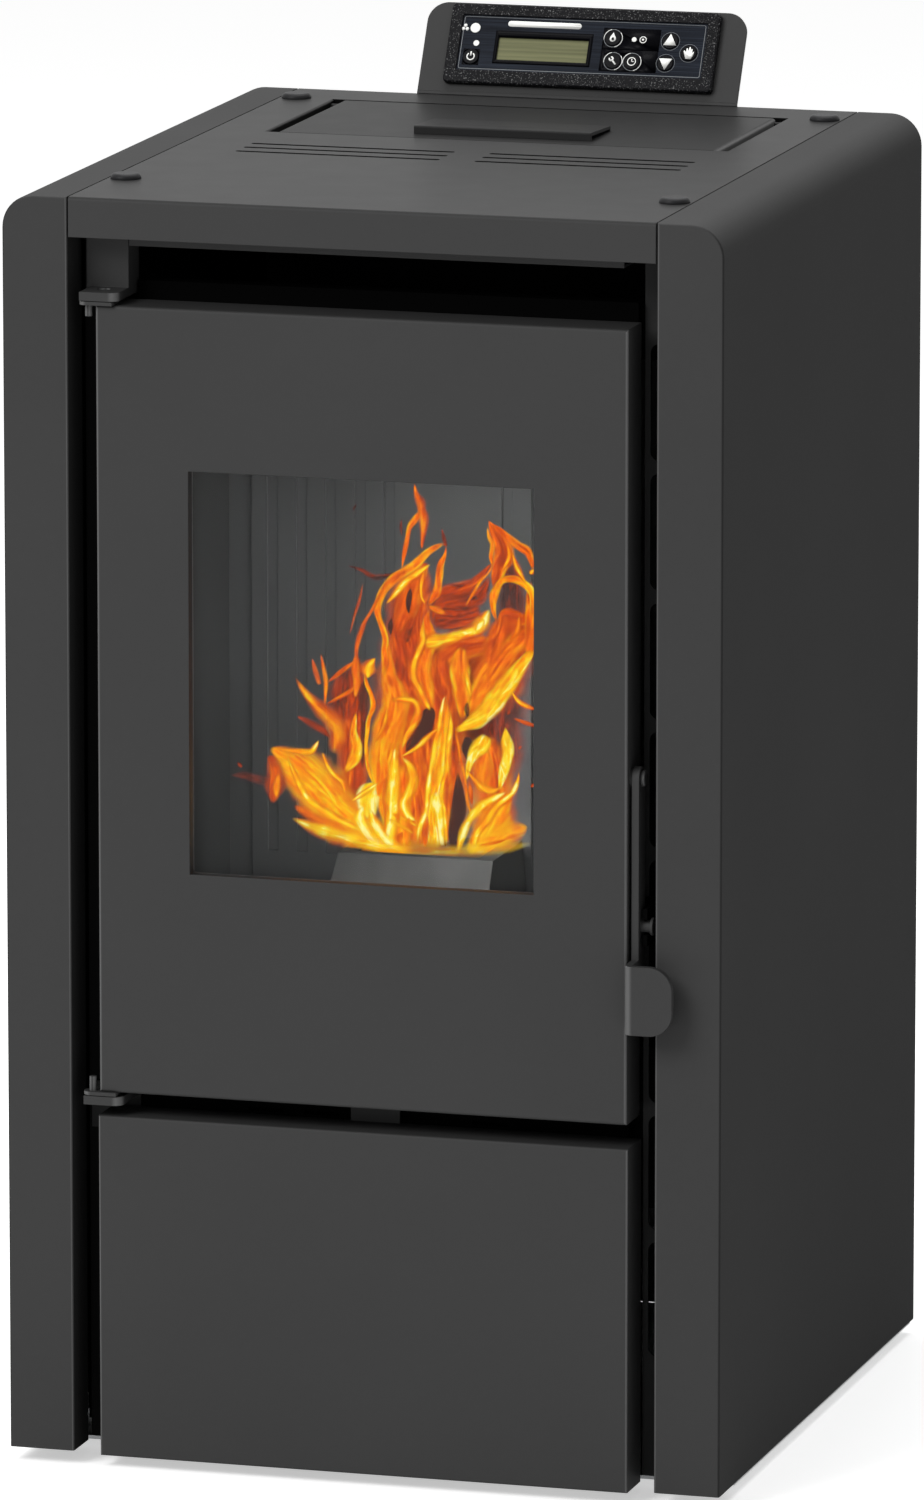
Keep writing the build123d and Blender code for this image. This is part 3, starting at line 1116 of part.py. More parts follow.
def power_inlet():
    """Combined mains inlet and switch frame in the rear panel."""
    y = BODY_DEPTH
    top = SWITCH_Z + 14
    unit = block(INLET_X - 25, INLET_X + 25, y + WELD_GAP, y + 2.2, INLET_Z - 16, top + 4)
    unit += block(INLET_X - 20.5, INLET_X + 20.5, y - 28, y + 1, INLET_Z - 11.5, top - 0.5)
    unit -= block(INLET_X - 13, INLET_X + 13, y - 18, y + 3, INLET_Z - 8.5, INLET_Z + 8.5)
    unit -= block(INLET_X - 12, INLET_X + 12, y - 22, y + 3, SWITCH_Z - 10.5, SWITCH_Z + 10.5)
    for dx, dz in ((-7, -2), (0, 2), (7, -2)):
        unit += block(
            INLET_X + dx - 1, INLET_X + dx + 1, y - 19, y - 3, INLET_Z + dz - 2, INLET_Z + dz + 2
        )
    return unit


def power_rocker():
    """Mains rocker, shown tilted to its off side."""
    y = BODY_DEPTH
    outline = [(y - 12, -8.6), (y - 1, -9.2), (y + 0.6, 0), (y - 1, 9.2), (y - 12, 8.6)]
    rocker = side_prism(outline, -11.4, 11.4)
    tilt = Pos(0, y - 6, 0) * Rot(ROCKER_TILT, 0, 0) * Pos(0, -(y - 6), 0)
    return Pos(INLET_X, 0, SWITCH_Z) * tilt * rocker


def safety_thermostat():
    """Over-heat cut-out with a threaded neck through the rear panel."""
    front = BODY_DEPTH - SHEET - WELD_GAP
    body = rod((INLET_X, front - 22, RESET_Z), (INLET_X, front, RESET_Z), 11)
    body += rod((INLET_X, front - 1, RESET_Z), (INLET_X, BODY_DEPTH + 6, RESET_Z), 5.7)
    body += Plane(origin=(INLET_X, BODY_DEPTH + WELD_GAP, RESET_Z), z_dir=(0, 1, 0)) * extrude(
        RegularPolygon(9, 6), 3
    )
    mouth = (INLET_X, BODY_DEPTH + 7, RESET_Z)
    return body - rod((INLET_X, front - 12, RESET_Z), mouth, RESET_RADIUS + SLIP)


def reset_button():
    front = BODY_DEPTH - SHEET - WELD_GAP
    return rod((INLET_X, front - 8, RESET_Z), (INLET_X, BODY_DEPTH + 8, RESET_Z), RESET_RADIUS)


# ---------------------------------------------------------------- console
def console_bracket():
    """Bent plate that leans back from the cabinet's rear edge and carries the keypad."""
    plate = wide_block(CONSOLE_HALF_WIDTH, 0.3, CONSOLE_HEIGHT, -CONSOLE_SHEET, 0)
    tops = [e for e in plate.edges().filter_by(Axis.Z) if e.center().Y > CONSOLE_HEIGHT - 1]
    plate = CONSOLE * fillet(tops, CONSOLE_CORNER)
    front = BODY_DEPTH + WELD_GAP
    flange = wide_block(CONSOLE_HALF_WIDTH, front, front + 1.8, BODY_HEIGHT - 48, BODY_HEIGHT + 2.2)
    plate = plate + flange
    plate -= wide_block(200, BODY_DEPTH - 20, BODY_DEPTH + 0.2, BODY_HEIGHT - 60, BODY_HEIGHT + WELD_GAP)
    plate -= console_block(-75, 75, 10.4, 51.6, -6, 20)
    for x, z in rear_screw_places():
        if z > 600 and abs(x) <= 70:
            plate -= rod((x, front - 1, z), (x, front + 3, z), 2.0)
    return plate


def keypad_housing():
    """Keypad case: a textured rim proud of the bracket and a box behind it."""
    rim = wide_block(KEYPAD_HALF_WIDTH, KEYPAD_BOTTOM, KEYPAD_TOP, 0.1, KEYPAD_RIM)
    rim = fillet(rim.edges().filter_by(Axis.Z), 3)
    rim = CONSOLE * fillet(rim.edges().group_by(Axis.Z)[-1], 1.2)
    case = rim + console_block(-74.6, 74.6, 10.8, 51.2, -16, 1)
    case -= console_block(-72.8, 72.8, 12.6, 49.4, -14.5, OVERLAY_FACE - 0.9)
    edge = OVERLAY_HALF_WIDTH + 0.2
    return case - console_block(-edge, edge, OVERLAY_BOTTOM - 0.2, OVERLAY_TOP + 0.2, 0, 6)


def keypad_overlay():
    face = OVERLAY_FACE
    sheet = CONSOLE * wide_block(OVERLAY_HALF_WIDTH, OVERLAY_BOTTOM, OVERLAY_TOP, face - 0.8, face)
    sheet += console_block(-72.6, 72.6, 12.8, 49.2, OVERLAY_FACE - 3, OVERLAY_FACE - 0.9)
    sheet += console_block(-70, 70, 15, 47.5, OVERLAY_FACE - 1, OVERLAY_FACE - 0.7)
    sheet -= console_block(LCD_LEFT, LCD_RIGHT, LCD_BOTTOM, LCD_TOP, -2, 6)
    for x, v in KEYS.values():
        sheet -= console_rod(x, v, -2, 6, KEY_RADIUS + SLIP)
    for x, v, radius in LIGHTS:
        sheet -= console_rod(x, v, -2, 6, radius + 0.1)
    return sheet


def lcd_module():
    """Display with its circuit board behind the overlay."""
    glass = console_block(LCD_LEFT + 0.2, LCD_RIGHT - 0.2, LCD_BOTTOM + 0.2, LCD_TOP - 0.2, -3, 2.4)
    return glass + console_block(-71, 71, 13.5, 48.5, -12.5, -9) + console_block(-50, 3, 22, 37, -10, -2)


def keypad_lights():
    """Infra-red window and indicator lights."""
    return together([console_rod(x, v, -8.9, OVERLAY_FACE + 0.25, r) for x, v, r in LIGHTS])


def keypad_key(x, v):
    """Round key with a shallow crown; it can go in by the dome switch's travel."""
    cap = console_rod(x, v, OVERLAY_FACE - 2.6, OVERLAY_FACE + KEY_PROUD, KEY_RADIUS)
    crown = cap.edges().filter_by(GeomType.CIRCLE).sort_by(Axis.Y)[0]
    cap = fillet(crown, 0.4)
    return cap + console_rod(x, v, -8.2, OVERLAY_FACE - 2, 1.8)


# ---------------------------------------------------------------- all pieces
def pieces():
    right_panel = side_panel()
    nodes = {
        "base_plate": base_plate(),
        "levelling_feet": levelling_feet(),
        "side_panel_right": right_panel,
        "side_panel_left": mirrored(right_panel),
        "inner_sides": together(both_sides(inner_side())),
        "top_panel": top_panel(),
        "top_caps": top_caps(),
        "rear_panel": rear_panel(),
        "panel_screws": panel_screws(),
        "lower_panel": lower_panel(),
        "cross_rail": cross_rail(),
        "air_duct_roof": air_duct_roof(),
        "hopper_lid": hopper_lid(),
        "lid_handle": lid_handle(),
        "hopper": hopper(),
        "hopper_grate": hopper_grate(),
        "auger_tube": auger_tube(),
        "auger_screw": auger_screw(),
        "auger_motor": auger_motor(),
        "firebox_shell": firebox_shell(),
        "firebox_flange": firebox_flange(),
        "fire_back_liner": fire_back_liner(),
        "baffle_plate": baffle_plate(),
        "burn_pot": burn_pot(),
        "ash_pan": ash_pan(),
        "door_panel": door_panel(),
        "window_gasket": window_gasket(),
        "door_glass": door_glass(),
        "glass_clamps": glass_clamps(),
        "door_liner": door_liner(),
        "door_gasket": door_gasket(),
        "door_handle": door_handle(),
        "door_catch": door_catch(),
        "hinge_brackets": hinge_brackets(),
        "smoke_duct": smoke_duct(),
        "extractor_housing": extractor_housing(),
        "extractor_wheel": extractor_wheel(),
        "flue_pipe": flue_pipe(),
        "air_intake_pipe": air_intake_pipe(),
        "blower_housing": blower_housing(),
        "blower_wheel": blower_wheel(),
        "igniter": igniter(),
        "pressure_switch": pressure_switch(),
        "control_board": control_board(),
        "power_inlet": power_inlet(),
        "power_rocker": power_rocker(),
        "safety_thermostat": safety_thermostat(),
        "reset_button": reset_button(),
        "console_bracket": console_bracket(),
        "keypad_housing": keypad_housing(),
        "keypad_overlay": keypad_overlay(),
        "lcd_module": lcd_module(),
        "keypad_lights": keypad_lights(),
    }
    for name, (x, v) in KEYS.items():
        nodes[name] = keypad_key(x, v)
    return nodes


os.makedirs("parts", exist_ok=True)
for node, shape in pieces().items():
    export_step(PLACE * shape, f"parts/{node}.step")
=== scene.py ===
"""Looks of an upright pellet stove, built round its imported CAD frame.

Lengths are in metres, or in millimetres where a name ends in _mm or a docstring says mm. Places in
millimetres are in the stove's own drawing frame: X to the right, Y from the front face to the back, Z up
from the side panels' lower edge.
"""

import logging
import math
import random
from dataclasses import dataclass
from enum import Enum

import bmesh
import bpy
from mathutils import Matrix, Vector, noise


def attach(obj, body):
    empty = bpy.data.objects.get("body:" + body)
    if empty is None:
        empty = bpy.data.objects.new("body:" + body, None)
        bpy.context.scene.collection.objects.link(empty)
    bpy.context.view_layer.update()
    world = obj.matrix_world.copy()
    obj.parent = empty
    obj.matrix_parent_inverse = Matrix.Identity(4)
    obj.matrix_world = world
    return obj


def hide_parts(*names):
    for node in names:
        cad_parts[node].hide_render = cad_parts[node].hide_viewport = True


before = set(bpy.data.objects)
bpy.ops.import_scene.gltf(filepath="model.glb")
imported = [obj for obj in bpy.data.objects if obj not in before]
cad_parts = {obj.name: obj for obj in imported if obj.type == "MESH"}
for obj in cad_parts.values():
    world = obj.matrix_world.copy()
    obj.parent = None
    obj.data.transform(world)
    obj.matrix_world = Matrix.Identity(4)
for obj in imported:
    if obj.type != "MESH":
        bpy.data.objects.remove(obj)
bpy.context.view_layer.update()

LOG = logging.getLogger("pellet_stove")
MM = 0.001
STOVE_ORIGIN = Vector((0.0, -0.23225, 0.008))
CORNER_POINTS = 7

Point = tuple[float, float, float]
Flat = tuple[float, float]
Span = tuple[float, float, float, float]
Colour = tuple[float, float, float]
Stops = tuple[tuple[float, Colour], ...]
Socket = bpy.types.NodeSocket
Material = bpy.types.Material


class Slot(Enum):
    """A material slot of the record, listed here but not given to any piece."""

    SEAL_ROPE = "seal_rope"


def stove(x_mm: float, y_mm: float, z_mm: float) -> Vector:
    """A place in the stove's drawing frame, as a place in the shared frame."""
    return STOVE_ORIGIN + Vector((x_mm, y_mm, z_mm)) * MM


def grey(level: float) -> Colour:
    """A neutral colour."""
    return (level, level, level)


# ---------------------------------------------------------------- finishes
class NodeTree:
    """A tree of shader nodes, written with short calls."""

    def __init__(self, tree: bpy.types.NodeTree) -> None:
        """Empties a tree to start from."""
        self.tree = tree
        self.tree.nodes.clear()

    def add(self, kind: str, inputs: dict | None = None, **settings) -> bpy.types.Node:
        """Adds a node.

        Args:
            kind: Blender's name of the node type.
            inputs: values or sockets by input name or number.
            settings: the node's own options.

        Returns:
            The new node.
        """
        node = self.tree.nodes.new(kind)
        for key, value in settings.items():
            setattr(node, key, value)
        for key, value in (inputs or {}).items():
            self.feed(node.inputs[key], value)
        return node

    def feed(self, socket: Socket, value: object) -> None:
        """Links a socket to another, or gives it a value.

        Args:
            socket: the input.
            value: an output socket, a number, or a colour of three numbers.
        """
        if isinstance(value, bpy.types.NodeSocket):
            self.tree.links.new(value, socket)
        elif socket.type == "RGBA" and len(value) == 3:
            socket.default_value = (*value, 1.0)
        else:
            socket.default_value = value

    def remap(self, value: Socket, low: float, high: float, to_low: float = 0.0,
              to_high: float = 1.0) -> Socket:
        """Maps a range of values to another, and holds it there."""
        inputs = {"Value": value, "From Min": low, "From Max": high, "To Min": to_low, "To Max": to_high}
        return self.add("ShaderNodeMapRange", inputs).outputs["Result"]

    def math(self, operation: str, first: object, second: object = 0.0) -> Socket:
        """One step of arithmetic; operation is Blender's name for it."""
        return self.add("ShaderNodeMath", {0: first, 1: second}, operation=operation).outputs["Value"]


class FinishTree(NodeTree):
    """A material's node tree. USUAL is where most values of a noise lie."""

    USUAL = (0.3, 0.7)

    def __init__(self, name: str) -> None:
        """Starts an empty material.

        Args:
            name: the finish's name.
        """
        self.material = bpy.data.materials.new(name)
        self.material.use_nodes = True
        super().__init__(self.material.node_tree)
        self.coordinates = self.add("ShaderNodeTexCoord").outputs
        self.place = self.coordinates["Object"]

    def split(self, vector: Socket) -> bpy.types.NodeOutputs:
        """X, Y and Z of a vector, by name."""
        return self.add("ShaderNodeSeparateXYZ", {0: vector}).outputs

    @property
    def facing(self) -> bpy.types.NodeOutputs:
        """X, Y and Z of the way the surface looks on the piece itself, by name."""
        return self.split(self.coordinates["Normal"])

    def stretched(self, stretch: Point, where: Socket | None = None) -> Socket:
        """Coordinates, or the piece's own, scaled along each axis."""
        inputs = {"Vector": where or self.place, "Scale": stretch}
        return self.add("ShaderNodeMapping", inputs).outputs["Vector"]

    def noise(self, scale: float, detail: float = 2.0, where: Socket | None = None, warp: float = 0.0,
              rough: float = 0.5) -> Socket:
        """Soft random values from 0 to 1.

        Args:
            scale: waves per metre.
            detail: how many finer layers are added.
            where: coordinates, or the piece's own.
            warp: how far the pattern is bent.
            rough: strength of the finer layers.

        Returns:
            The value's socket.
        """
        inputs = {"Vector": where or self.place, "Scale": scale, "Detail": detail, "Roughness": rough,
                  "Distortion": warp}
        return self.add("ShaderNodeTexNoise", inputs).outputs["Fac"]

    def cells(self, scale: float, where: Socket | None = None, feature: str = "F1",
              output: str = "Distance") -> Socket:
        """Cell pattern.

        Args:
            scale: cells per metre.
            where: coordinates, or the piece's own.
            feature: Blender's name of what is measured.
            output: the node's output to use.

        Returns:
            The output's socket.
        """
        inputs = {"Vector": where or self.place, "Scale": scale}
        return self.add("ShaderNodeTexVoronoi", inputs, feature=feature).outputs[output]

    def flakes(self, scale: float) -> Socket:
        """A random value from 0 to 1 for each cell; scale is cells per metre."""
        return self.add("ShaderNodeSeparateColor", {0: self.cells(scale, output="Color")}).outputs[0]

    def spread(self, value: Socket, low: float, high: float) -> Socket:
        """Maps a noise's usual range to another."""
        return self.remap(value, *self.USUAL, low, high)

    def around(self, value: Socket, level: float, by: float) -> Socket:
        """Maps a noise's usual range to either side of a level."""
        return self.spread(value, level - by, level + by)

    def product(self, first: object, second: object) -> Socket:
        """Multiplies two values."""
        return self.math("MULTIPLY", first, second)

    def mean(self, first: Socket, second: Socket, first_share: float = 0.5) -> Socket:
        """Weighted mean of two values."""
        return self.math("ADD", self.product(first, first_share), self.product(second, 1 - first_share))

    def blend(self, share: object, first: object, second: object, way: str = "MIX") -> Socket:
        """Mixes two colours.

        Args:
            share: how much of the second is used.
            first: the colour underneath.
            second: the colour on top.
            way: Blender's name of how they mix.

        Returns:
            The colour's socket.
        """
        node = self.add("ShaderNodeMix", data_type="RGBA", blend_type=way)
        for socket, value in ((node.inputs[0], share), (node.inputs[6], first), (node.inputs[7], second)):
            self.feed(socket, value)
        return node.outputs[2]

    def ramp(self, value: Socket, stops: Stops) -> Socket:
        """Turns values into colours.

        Args:
            value: from 0 to 1.
            stops: (value, colour) pairs in rising order.

        Returns:
            The colour's socket.
        """
        node = self.add("ShaderNodeValToRGB", {"Fac": value})
        elements = node.color_ramp.elements
        while len(elements) < len(stops):
            elements.new(0.5)
        for element, (position, colour) in zip(elements, stops):
            element.position = position
            element.color = (*colour, 1.0)
        return node.outputs["Color"]

    def tones(self, value: Socket, first: Colour, second: Colour, where: Flat = USUAL) -> Socket:
        """Goes from one colour to another between two values."""
        return self.ramp(value, tuple(zip(where, (first, second))))

    def bump(self, height: Socket, depth: float, strength: float, under: Socket | None = None) -> Socket:
        """Relief that tilts the surface.

        Args:
            height: relief from 0 to 1.
            depth: metres from lowest to highest.
            strength: share of the tilt that is used.
            under: a normal that the relief is added to.

        Returns:
            The normal's socket.
        """
        inputs = {"Height": height, "Distance": depth, "Strength": strength}
        if under is not None:
            inputs["Normal"] = under
        return self.add("ShaderNodeBump", inputs).outputs["Normal"]

    def soft_edges(self, radius: float) -> Socket:
        """Normals that round sharp edges by a small radius in metres."""
        return self.add("ShaderNodeBevel", {"Radius": radius}, samples=4).outputs["Normal"]

    def surface(self, colour: object, roughness: object, **inputs) -> Socket:
        """The usual surface shader.

        Args:
            colour: its base colour.
            roughness: its roughness.
            inputs: its other sockets, with underscores for spaces.

        Returns:
            The shader's socket.
        """
        named = {key.replace("_", " "): value for key, value in inputs.items()}
        named |= {"Base Color": colour, "Roughness": roughness}
        return self.add("ShaderNodeBsdfPrincipled", named).outputs["BSDF"]

    def mixed(self, share: Socket, first: Socket, second: Socket) -> Socket:
        """Mixes two shaders."""
        return self.add("ShaderNodeMixShader", {0: share, 1: first, 2: second}).outputs[0]

    def done(self, shader: Socket) -> Material:
        """Joins the shader to an output and returns the material."""
        self.add("ShaderNodeOutputMaterial", {"Surface": shader})
        return self.material


def toned(colour: Colour, share: float) -> Colour:
    """A colour made darker or lighter."""
    return tuple(part * share for part in colour)


@dataclass(frozen=True)
class Finish:
    """A named finish, made from its sizes; scales are per metre and depths in metres."""

    name: str

    def shader(self, tree: FinishTree) -> Socket:
        """Builds the finish's nodes; each finish has its own."""
        raise NotImplementedError

    def make(self) -> Material:
        """Builds the material."""
        tree = FinishTree(self.name)
        return tree.done(self.shader(tree))


@dataclass(frozen=True)
class PowderCoat(Finish):
    """Baked powder paint: fine even grain, faint waviness, slightly uneven tone and gloss.

    Each light share multiplies the colour where its mask is, as painted light above 1 and painted shade below
    1:
    top_light_share on the faces that look up, right_light_share on what stands right of the middle,
    inward_light_share on faces that look towards the middle, edge_light_share on rounded edges,
    fold_light_share on those of them that look inwards, sunk_light_share on upright faces that stand back
    from the front, outward_light_share on faces that look away from the middle.
    Over each span in capitals, a mask goes from nothing to everything.
    """

    colour: Colour
    roughness: float = 0.5
    gloss_spread: float = 0.01
    gloss_scale: float = 45.0
    grain_scale: float = 1700.0
    grain_depth: float = 0.000012
    wave_scale: float = 160.0
    wave_depth: float = 0.000005
    edge_radius: float = 0.0006
    specular: float = 0.5
    tone_scale: float = 7.0
    speck_scale: float = 260.0
    tone_weight: float = 0.7
    tone_spread: float = 0.03
    # Light shares: painted light above 1, painted shade below 1, each on the faces of its mask.
    top_light_share: float = 1.0
    right_light_share: float = 1.0
    inward_light_share: float = 1.0
    edge_light_share: float = 1.0
    fold_light_share: float = 1.0
    sunk_light_share: float = 1.0
    sunk_from: float = -0.225
    outward_light_share: float = 1.0

    LEVEL = (0.25, 0.85)
    MIDDLE = (-0.01, 0.01)
    TOWARDS = (-0.12, -0.04)
    AWAY = (0.04, 0.1)
    ROUND = (0.08, 0.4)

    def upward(self, tree: FinishTree) -> Socket:
        """Mask of the faces that look up."""
        return tree.remap(tree.facing["Z"], *self.LEVEL)

    def rightward(self, tree: FinishTree) -> Socket:
        """Mask of what stands right of the middle."""
        return tree.remap(tree.split(tree.place)["X"], *self.MIDDLE)

    def away(self, tree: FinishTree) -> Socket:
        """How far a face looks away from the middle, in metres; below 0 it looks towards it."""
        return tree.product(tree.facing["X"], tree.split(tree.place)["X"])

    def inward(self, tree: FinishTree) -> Socket:
        """Mask of the faces that look towards the middle from either side."""
        return tree.remap(self.away(tree), *self.TOWARDS, 1.0, 0.0)

    def outward(self, tree: FinishTree) -> Socket:
        """Mask of the faces that look away from the middle to either side."""
        return tree.remap(self.away(tree), *self.AWAY)

    def rounded(self, tree: FinishTree) -> Socket:
        """Mask of the upright edges, rounded between front and side."""
        between = tree.product(tree.facing["X"], tree.facing["Y"])
        return tree.remap(tree.math("ABSOLUTE", between), *self.ROUND)

    def fold(self, tree: FinishTree) -> Socket:
        """Mask of the upright rounded edges that look towards the middle."""
        return tree.product(self.rounded(tree), tree.math("LESS_THAN", self.away(tree), 0.0))

    def sunk(self, tree: FinishTree) -> Socket:
        """Mask of the upright faces that stand back from the front, such as the walls of a slot.

        Args:
            tree: where its nodes go.

        Returns:
            The mask's socket.
        """
        back = tree.math("GREATER_THAN", tree.split(tree.place)["Y"], self.sunk_from)
        upright = tree.remap(tree.math("ABSOLUTE", tree.facing["Z"]), *self.LEVEL, 1.0, 0.0)
        return tree.product(back, upright)

    def shader(self, tree: FinishTree) -> Socket:
        """Paint over a faint relief, with painted light and painted shade on each kind of face.

        Args:
            tree: where its nodes go.

        Returns:
            The shader\'s socket.
        """
        tone = tree.mean(tree.noise(self.tone_scale, 3.0), tree.noise(self.speck_scale), self.tone_weight)
        colour = tree.tones(tone, toned(self.colour, 1 - self.tone_spread),
                            toned(self.colour, 1 + self.tone_spread), (0.35, 0.65))
        # Painted light and shade: each light share lightens or darkens the paint on its kind of face.
        for mask, share in ((self.upward, self.top_light_share), (self.rightward, self.right_light_share),
                            (self.inward, self.inward_light_share), (self.rounded, self.edge_light_share),
                            (self.fold, self.fold_light_share), (self.sunk, self.sunk_light_share),
                            (self.outward, self.outward_light_share)):
            if share != 1.0:
                colour = tree.blend(mask(tree), colour, grey(share), "MULTIPLY")
        gloss = tree.around(tree.noise(self.gloss_scale, 4.0), self.roughness, self.gloss_spread)
        edges = tree.soft_edges(self.edge_radius)
        normal = tree.bump(tree.noise(self.wave_scale), self.wave_depth, 0.4, edges)
        normal = tree.bump(tree.noise(self.grain_scale, 3.0), self.grain_depth, 0.5, normal)
        return tree.surface(colour, gloss, Normal=normal, Specular_IOR_Level=self.specular)


@dataclass(frozen=True)
class SheetMetal(Finish):
    """Bare, zinc-plated or galvanised sheet: rolled streaks, spangle and handling marks."""

    colour: Colour
    roughness: float = 0.38
    spangle: float = 0.0
    spangle_scale: float = 90.0
    streak: Point = (6.0, 6.0, 220.0)
    streak_scale: float = 9.0
    streak_depth: float = 0.00001
    blotch_scale: float = 22.0
    blotch_darkest: float = 0.74
    gloss_scale: float = 60.0
    edge_radius: float = 0.0004

    def shader(self, tree: FinishTree) -> Socket:
        """Streaks and blotches, under spangle where the sheet has it.

        Args:
            tree: where its nodes go.

        Returns:
            The shader\'s socket.
        """
        streaks = tree.noise(self.streak_scale, 5.0, tree.stretched(self.streak))
        blotches = tree.noise(self.blotch_scale, 4.0)
        dull = toned(self.colour, self.blotch_darkest)
        colour = tree.tones(tree.mean(streaks, blotches), dull, self.colour, (0.3, 0.62))
        if self.spangle:
            flakes = tree.tones(tree.flakes(self.spangle_scale), grey(0.2), grey(0.8), (0.0, 1.0))
            colour = tree.blend(self.spangle, colour, flakes, "OVERLAY")
        gloss = tree.spread(tree.noise(self.gloss_scale, 4.0), self.roughness - 0.08, self.roughness + 0.1)
        normal = tree.bump(streaks, self.streak_depth, 0.35, tree.soft_edges(self.edge_radius))
        return tree.surface(colour, gloss, Normal=normal, Metallic=1.0)


@dataclass(frozen=True)
class CastIron(Finish):
    """Sand-cast iron: pitted skin, uneven gloss and a dusting of ash."""

    colour: Colour
    ash: Colour = (0.16, 0.155, 0.15)
    ash_share: float = 0.3
    sand_scale: float = 900.0
    sand_depth: float = 0.00012
    pit_scale: float = 320.0
    pit_depth: float = 0.00008
    patch_scale: float = 38.0
    edge_radius: float = 0.0008

    def shader(self, tree: FinishTree) -> Socket:
        """Pitted iron, with ash settled on what looks up.

        Args:
            tree: where its nodes go.

        Returns:
            The shader\'s socket.
        """
        sand = tree.noise(self.sand_scale, 4.0)
        patch = tree.noise(self.patch_scale, 5.0, warp=0.4)
        base = tree.tones(patch, toned(self.colour, 0.8), self.colour)
        settled = tree.product(tree.remap(tree.facing["Z"], -0.2, 0.9), tree.remap(patch, 0.35, 0.7))
        colour = tree.blend(tree.product(settled, self.ash_share), base, self.ash)
        normal = tree.bump(sand, self.sand_depth, 0.5, tree.soft_edges(self.edge_radius))
        normal = tree.bump(tree.cells(self.pit_scale), self.pit_depth, 0.35, normal)
        return tree.surface(colour, tree.spread(sand, 0.55, 0.8), Normal=normal, Metallic=0.15)


@dataclass(frozen=True)
class FireWall(Finish):
    """Sooty cast plate, with painted light that makes it paler towards one upper corner and can lighten faces
    that look sideways, such as its grooves' flanks.
    """

    soot: Colour = grey(0.175)
    # pale is the colour of the painted light.
    pale: Colour = grey(0.38)
    start: Flat = (-0.06, 0.38)
    end: Flat = (0.09, 0.55)
    flank_light_share: float = 1.0
    cloud_scale: float = 13.0
    sand_scale: float = 700.0
    sand_depth: float = 0.00008
    edge_radius: float = 0.0008

    def shader(self, tree: FinishTree) -> Socket:
        """Soot, with painted light that makes it paler up to the right, from start to end in X and Z.

        Args:
            tree: where its nodes go.

        Returns:
            The shader\'s socket.
        """
        parts = tree.split(tree.place)
        # Painted light: the wall turns paler towards its upper right, as if lit there.
        across = tree.remap(parts["X"], self.start[0], self.end[0])
        up = tree.remap(parts["Z"], self.start[1], self.end[1])
        clouds = tree.spread(tree.noise(self.cloud_scale, 4.0, warp=0.5), 0.75, 1.15)
        colour = tree.blend(tree.product(tree.product(across, up), clouds), self.soot, self.pale)
        # Painted light: faces that look sideways, such as the grooves' flanks, are lightened against their
        # shade.
        flank = tree.math("ABSOLUTE", tree.facing["X"])
        colour = tree.blend(flank, colour, grey(self.flank_light_share), "MULTIPLY")
        sand = tree.noise(self.sand_scale, 3.0)
        normal = tree.bump(sand, self.sand_depth, 0.35, tree.soft_edges(self.edge_radius))
        return tree.surface(colour, tree.spread(sand, 0.78, 0.92), Normal=normal, Specular_IOR_Level=0.1)


@dataclass(frozen=True)
class PressedBoard(Finish):
    """Heat-proof board pressed from mica flakes, darkened by smoke."""

    colour: Colour
    soot: Colour
    flake_scale: float = 420.0
    flake_depth: float = 0.0002
    smoke_scale: float = 9.0
    edge_radius: float = 0.0008

    def shader(self, tree: FinishTree) -> Socket:
        """Flakes under a film of soot.

        Args:
            tree: where its nodes go.

        Returns:
            The shader\'s socket.
        """
        flake = tree.flakes(self.flake_scale)
        base = tree.tones(flake, toned(self.colour, 0.8), self.colour, (0.0, 1.0))
        smoke = tree.spread(tree.noise(self.smoke_scale, 4.0, warp=0.6), 0.55, 0.95)
        edges = tree.soft_edges(self.edge_radius)
        normal = tree.bump(tree.cells(self.flake_scale), self.flake_depth, 0.5, edges)
        return tree.surface(tree.blend(smoke, base, self.soot), tree.remap(flake, 0.0, 1.0, 0.7, 0.92),
                            Normal=normal)


@dataclass(frozen=True)
class WovenSeal(Finish):
    """Knitted glass-fibre yarn."""

    colour: Colour
    fibre_scale: float = 2600.0
    fibre_depth: float = 0.00015
    patch_scale: float = 70.0

    def shader(self, tree: FinishTree) -> Socket:
        """Fibres over patches of wear.

        Args:
            tree: where its nodes go.

        Returns:
            The shader\'s socket.
        """
        fibre = tree.noise(self.fibre_scale)
        patch = tree.noise(self.patch_scale, 3.0)
        colour = tree.tones(tree.mean(fibre, patch), toned(self.colour, 0.55), self.colour, (0.35, 0.65))
        return tree.surface(colour, tree.spread(patch, 0.8, 0.95), Sheen_Weight=0.3,
                            Normal=tree.bump(fibre, self.fibre_depth, 0.6))


@dataclass(frozen=True)
class StovePane(Finish):
    """Clear ceramic glass with a thin, uneven film of ash on it."""

    glass: Colour = (0.97, 0.98, 0.98)
    film_colour: Colour = (0.34, 0.36, 0.355)
    film_least: float = 0.008
    film_most: float = 0.016
    wisp_scale: float = 14.0
    smear_scale: float = 30.0
    shadow_clear: float = 0.92

    def shader(self, tree: FinishTree) -> Socket:
        """Glass under its film; lamps shine straight through.

        Args:
            tree: where its nodes go.

        Returns:
            The shader\'s socket.
        """
        wisps = tree.noise(self.wisp_scale, 4.0, warp=0.5)
        pane = tree.surface(self.glass, tree.spread(tree.noise(self.smear_scale, 3.0), 0.02, 0.05),
                            Transmission_Weight=1.0, IOR=1.1)
        film = tree.surface(tree.blend(wisps, toned(self.film_colour, 0.9), self.film_colour), 0.9)
        coated = tree.mixed(tree.spread(wisps, self.film_least, self.film_most), pane, film)
        lamp_ray = tree.add("ShaderNodeLightPath").outputs["Is Shadow Ray"]
        clear = tree.add("ShaderNodeBsdfTransparent", {"Color": grey(self.shadow_clear)})
        return tree.mixed(lamp_ray, coated, clear.outputs[0])


